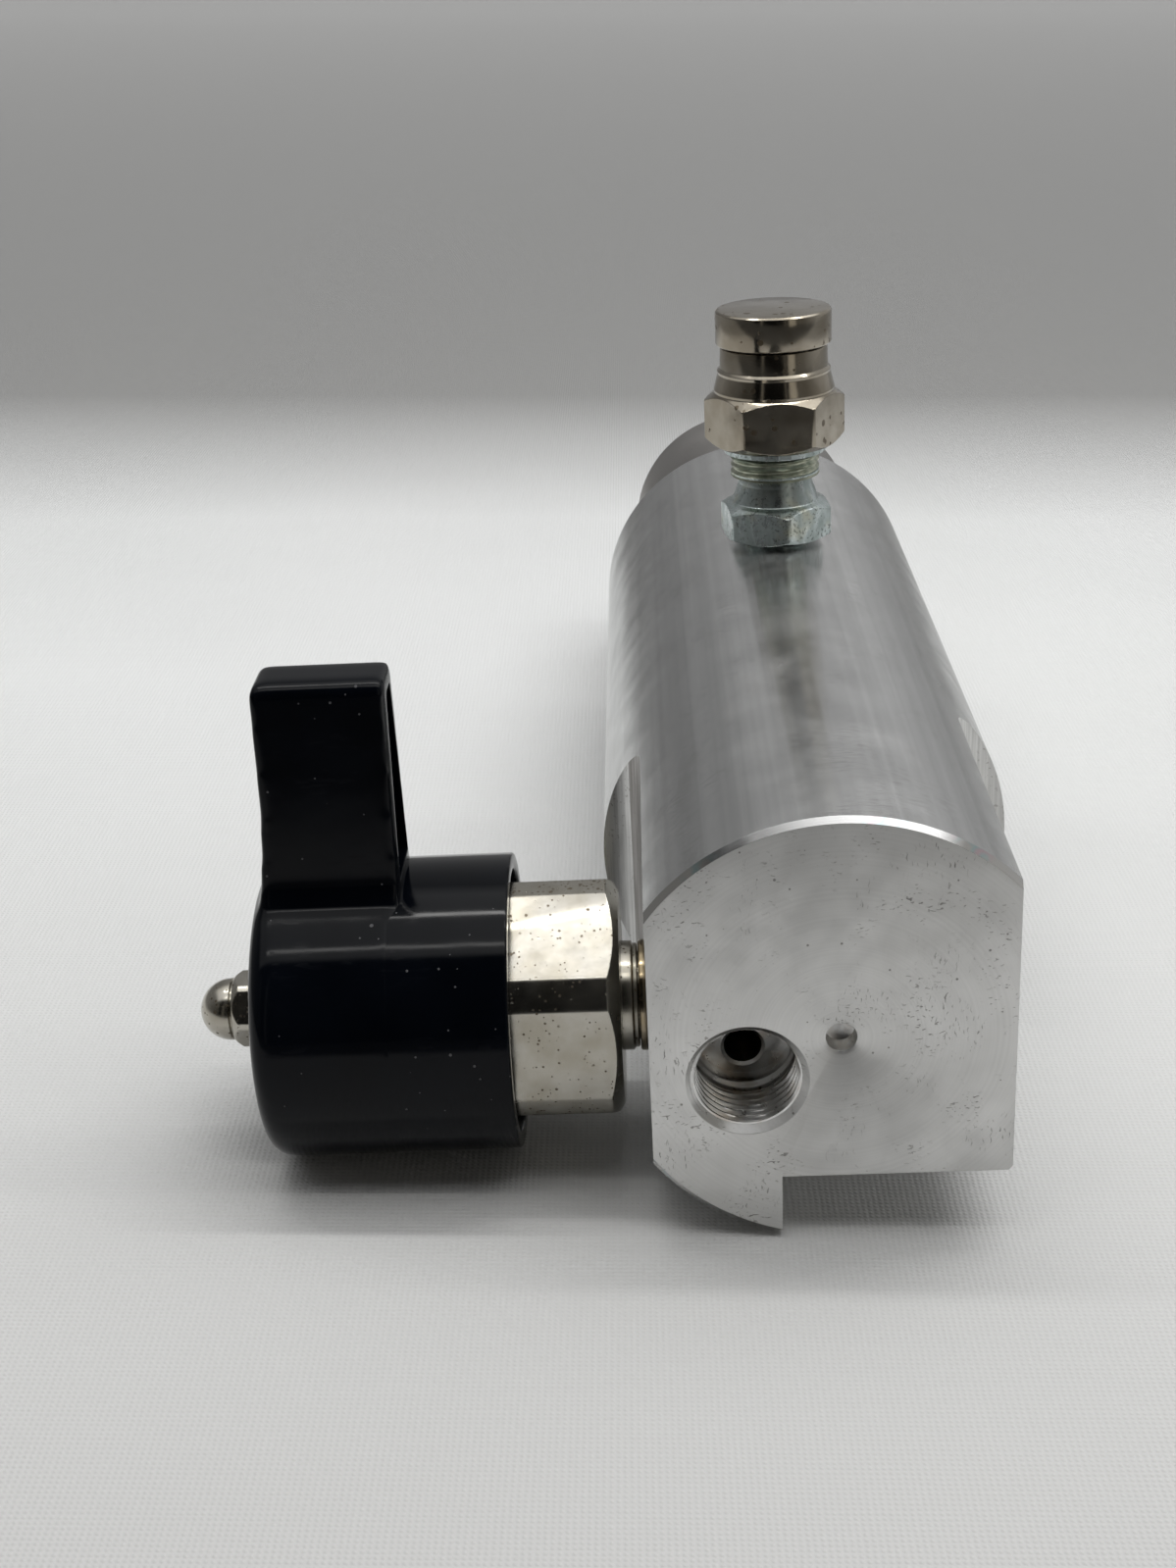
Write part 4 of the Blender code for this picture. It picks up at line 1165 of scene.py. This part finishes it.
def tent_levels(nodes, over):
    """Grey levels over the object, from 0 at the front's horizon to 1 at the rear's."""
    ramp = nodes.node("ValToRGB", {"Fac": over})
    stops = ramp.color_ramp.elements
    levels = [(0.0, 0.008), (0.348, 0.008), (0.367, 1.35), (0.66, 1.35), (0.72, 0.40), (1.0, 0.32)]
    for position, level in levels[1:-1]:
        stops.new(position)
    for stop, (position, level) in zip(stops, levels):
        stop.position = position
        stop.color = (level, level, level, 1.0)
    return ramp.outputs[0]


def doorway_glow(nodes, over, depth, sideways):
    """Soft warm patches low in front and to the sides, as from windows in a dark room."""
    around = nodes.maths("ARCTAN2", sideways, nodes.maths("MULTIPLY", depth, -1.0))
    doorway = {"Vector": nodes.node("CombineXYZ", {"X": around}).outputs[0], "Scale": 2.6, "Detail": 3.0}
    glow = nodes.between(nodes.node("TexNoise", doorway).outputs[0], 0.50, 0.56)
    glow = nodes.maths("MULTIPLY", glow, nodes.between(nodes.maths("ABSOLUTE", around), 0.24, 0.34))
    low = nodes.between(over, 0.33, 0.22)
    front = nodes.between(depth, -0.05, -0.20)
    return nodes.maths("MULTIPLY", glow, nodes.maths("MULTIPLY", low, front))


def make_light():
    """A light tent: two bars in a bright ceiling, grey walls at the sides and rear, a dark room in front."""
    add_strip("front_bar", 71.5, 0.018, 6.0)
    add_strip("rear_bar", 98.0, 0.020, 17.0)
    world = bpy.data.worlds.new("light_tent")
    bpy.context.scene.world = world
    world.use_nodes = True
    nodes = Nodes(world.node_tree)
    direction = nodes.node("TexCoord").outputs["Generated"]
    sideways, depth, height = nodes.node("SeparateXYZ", {"Vector": direction}).outputs
    over = nodes.maths("ARCTAN2", height, nodes.maths("MULTIPLY", depth, -1.0))
    over = nodes.maths("DIVIDE", over, math.pi)
    glow = doorway_glow(nodes, over, depth, sideways)
    shade = nodes.mix(glow, tent_levels(nodes, over), (0.42, 0.40, 0.36))
    side = nodes.between(nodes.maths("ABSOLUTE", sideways), 0.62, 0.74)
    wall = nodes.mix(nodes.between(depth, -0.5, 0.3), (0.12, 0.115, 0.105), (0.36, 0.36, 0.36))
    shade = nodes.mix(side, shade, wall)
    balance = nodes.between(sideways, -0.45, 0.45, 0.62, 1.35)
    background = nodes.tree.nodes["Background"]
    nodes.tree.links.new(shade, background.inputs["Color"])
    nodes.tree.links.new(balance, background.inputs["Strength"])


def make_camera():
    """The place, aim and lens that the picture's own geometry gives."""
    data = bpy.data.cameras.new("camera")
    data.lens = 47.08
    data.sensor_width = 36.0
    data.clip_start = 0.01
    data.clip_end = 20.0
    camera = bpy.data.objects.new("camera", data)
    bpy.context.scene.collection.objects.link(camera)
    yaw = Matrix.Rotation(0.0371, 4, "Z")
    pitch = Matrix.Rotation(-0.4100, 4, "X")
    roll = Matrix.Rotation(0.0533, 4, "Y")
    level = Matrix.Rotation(math.pi / 2, 4, "X")
    place_at = Matrix.Translation(BORE + Vector((-0.01825, -0.18701, 0.11151)))
    camera.matrix_world = place_at @ yaw @ pitch @ roll @ level
    bpy.context.scene.camera = camera


make_camera()
make_body()
make_gland()
make_rod()
make_bonnet()
make_handle()
make_cap_nut()
make_adapter()
make_vent()
make_springs()
dress_inner_pieces()
make_floor()
make_light()
bpy.context.scene.view_settings.view_transform = "Standard"
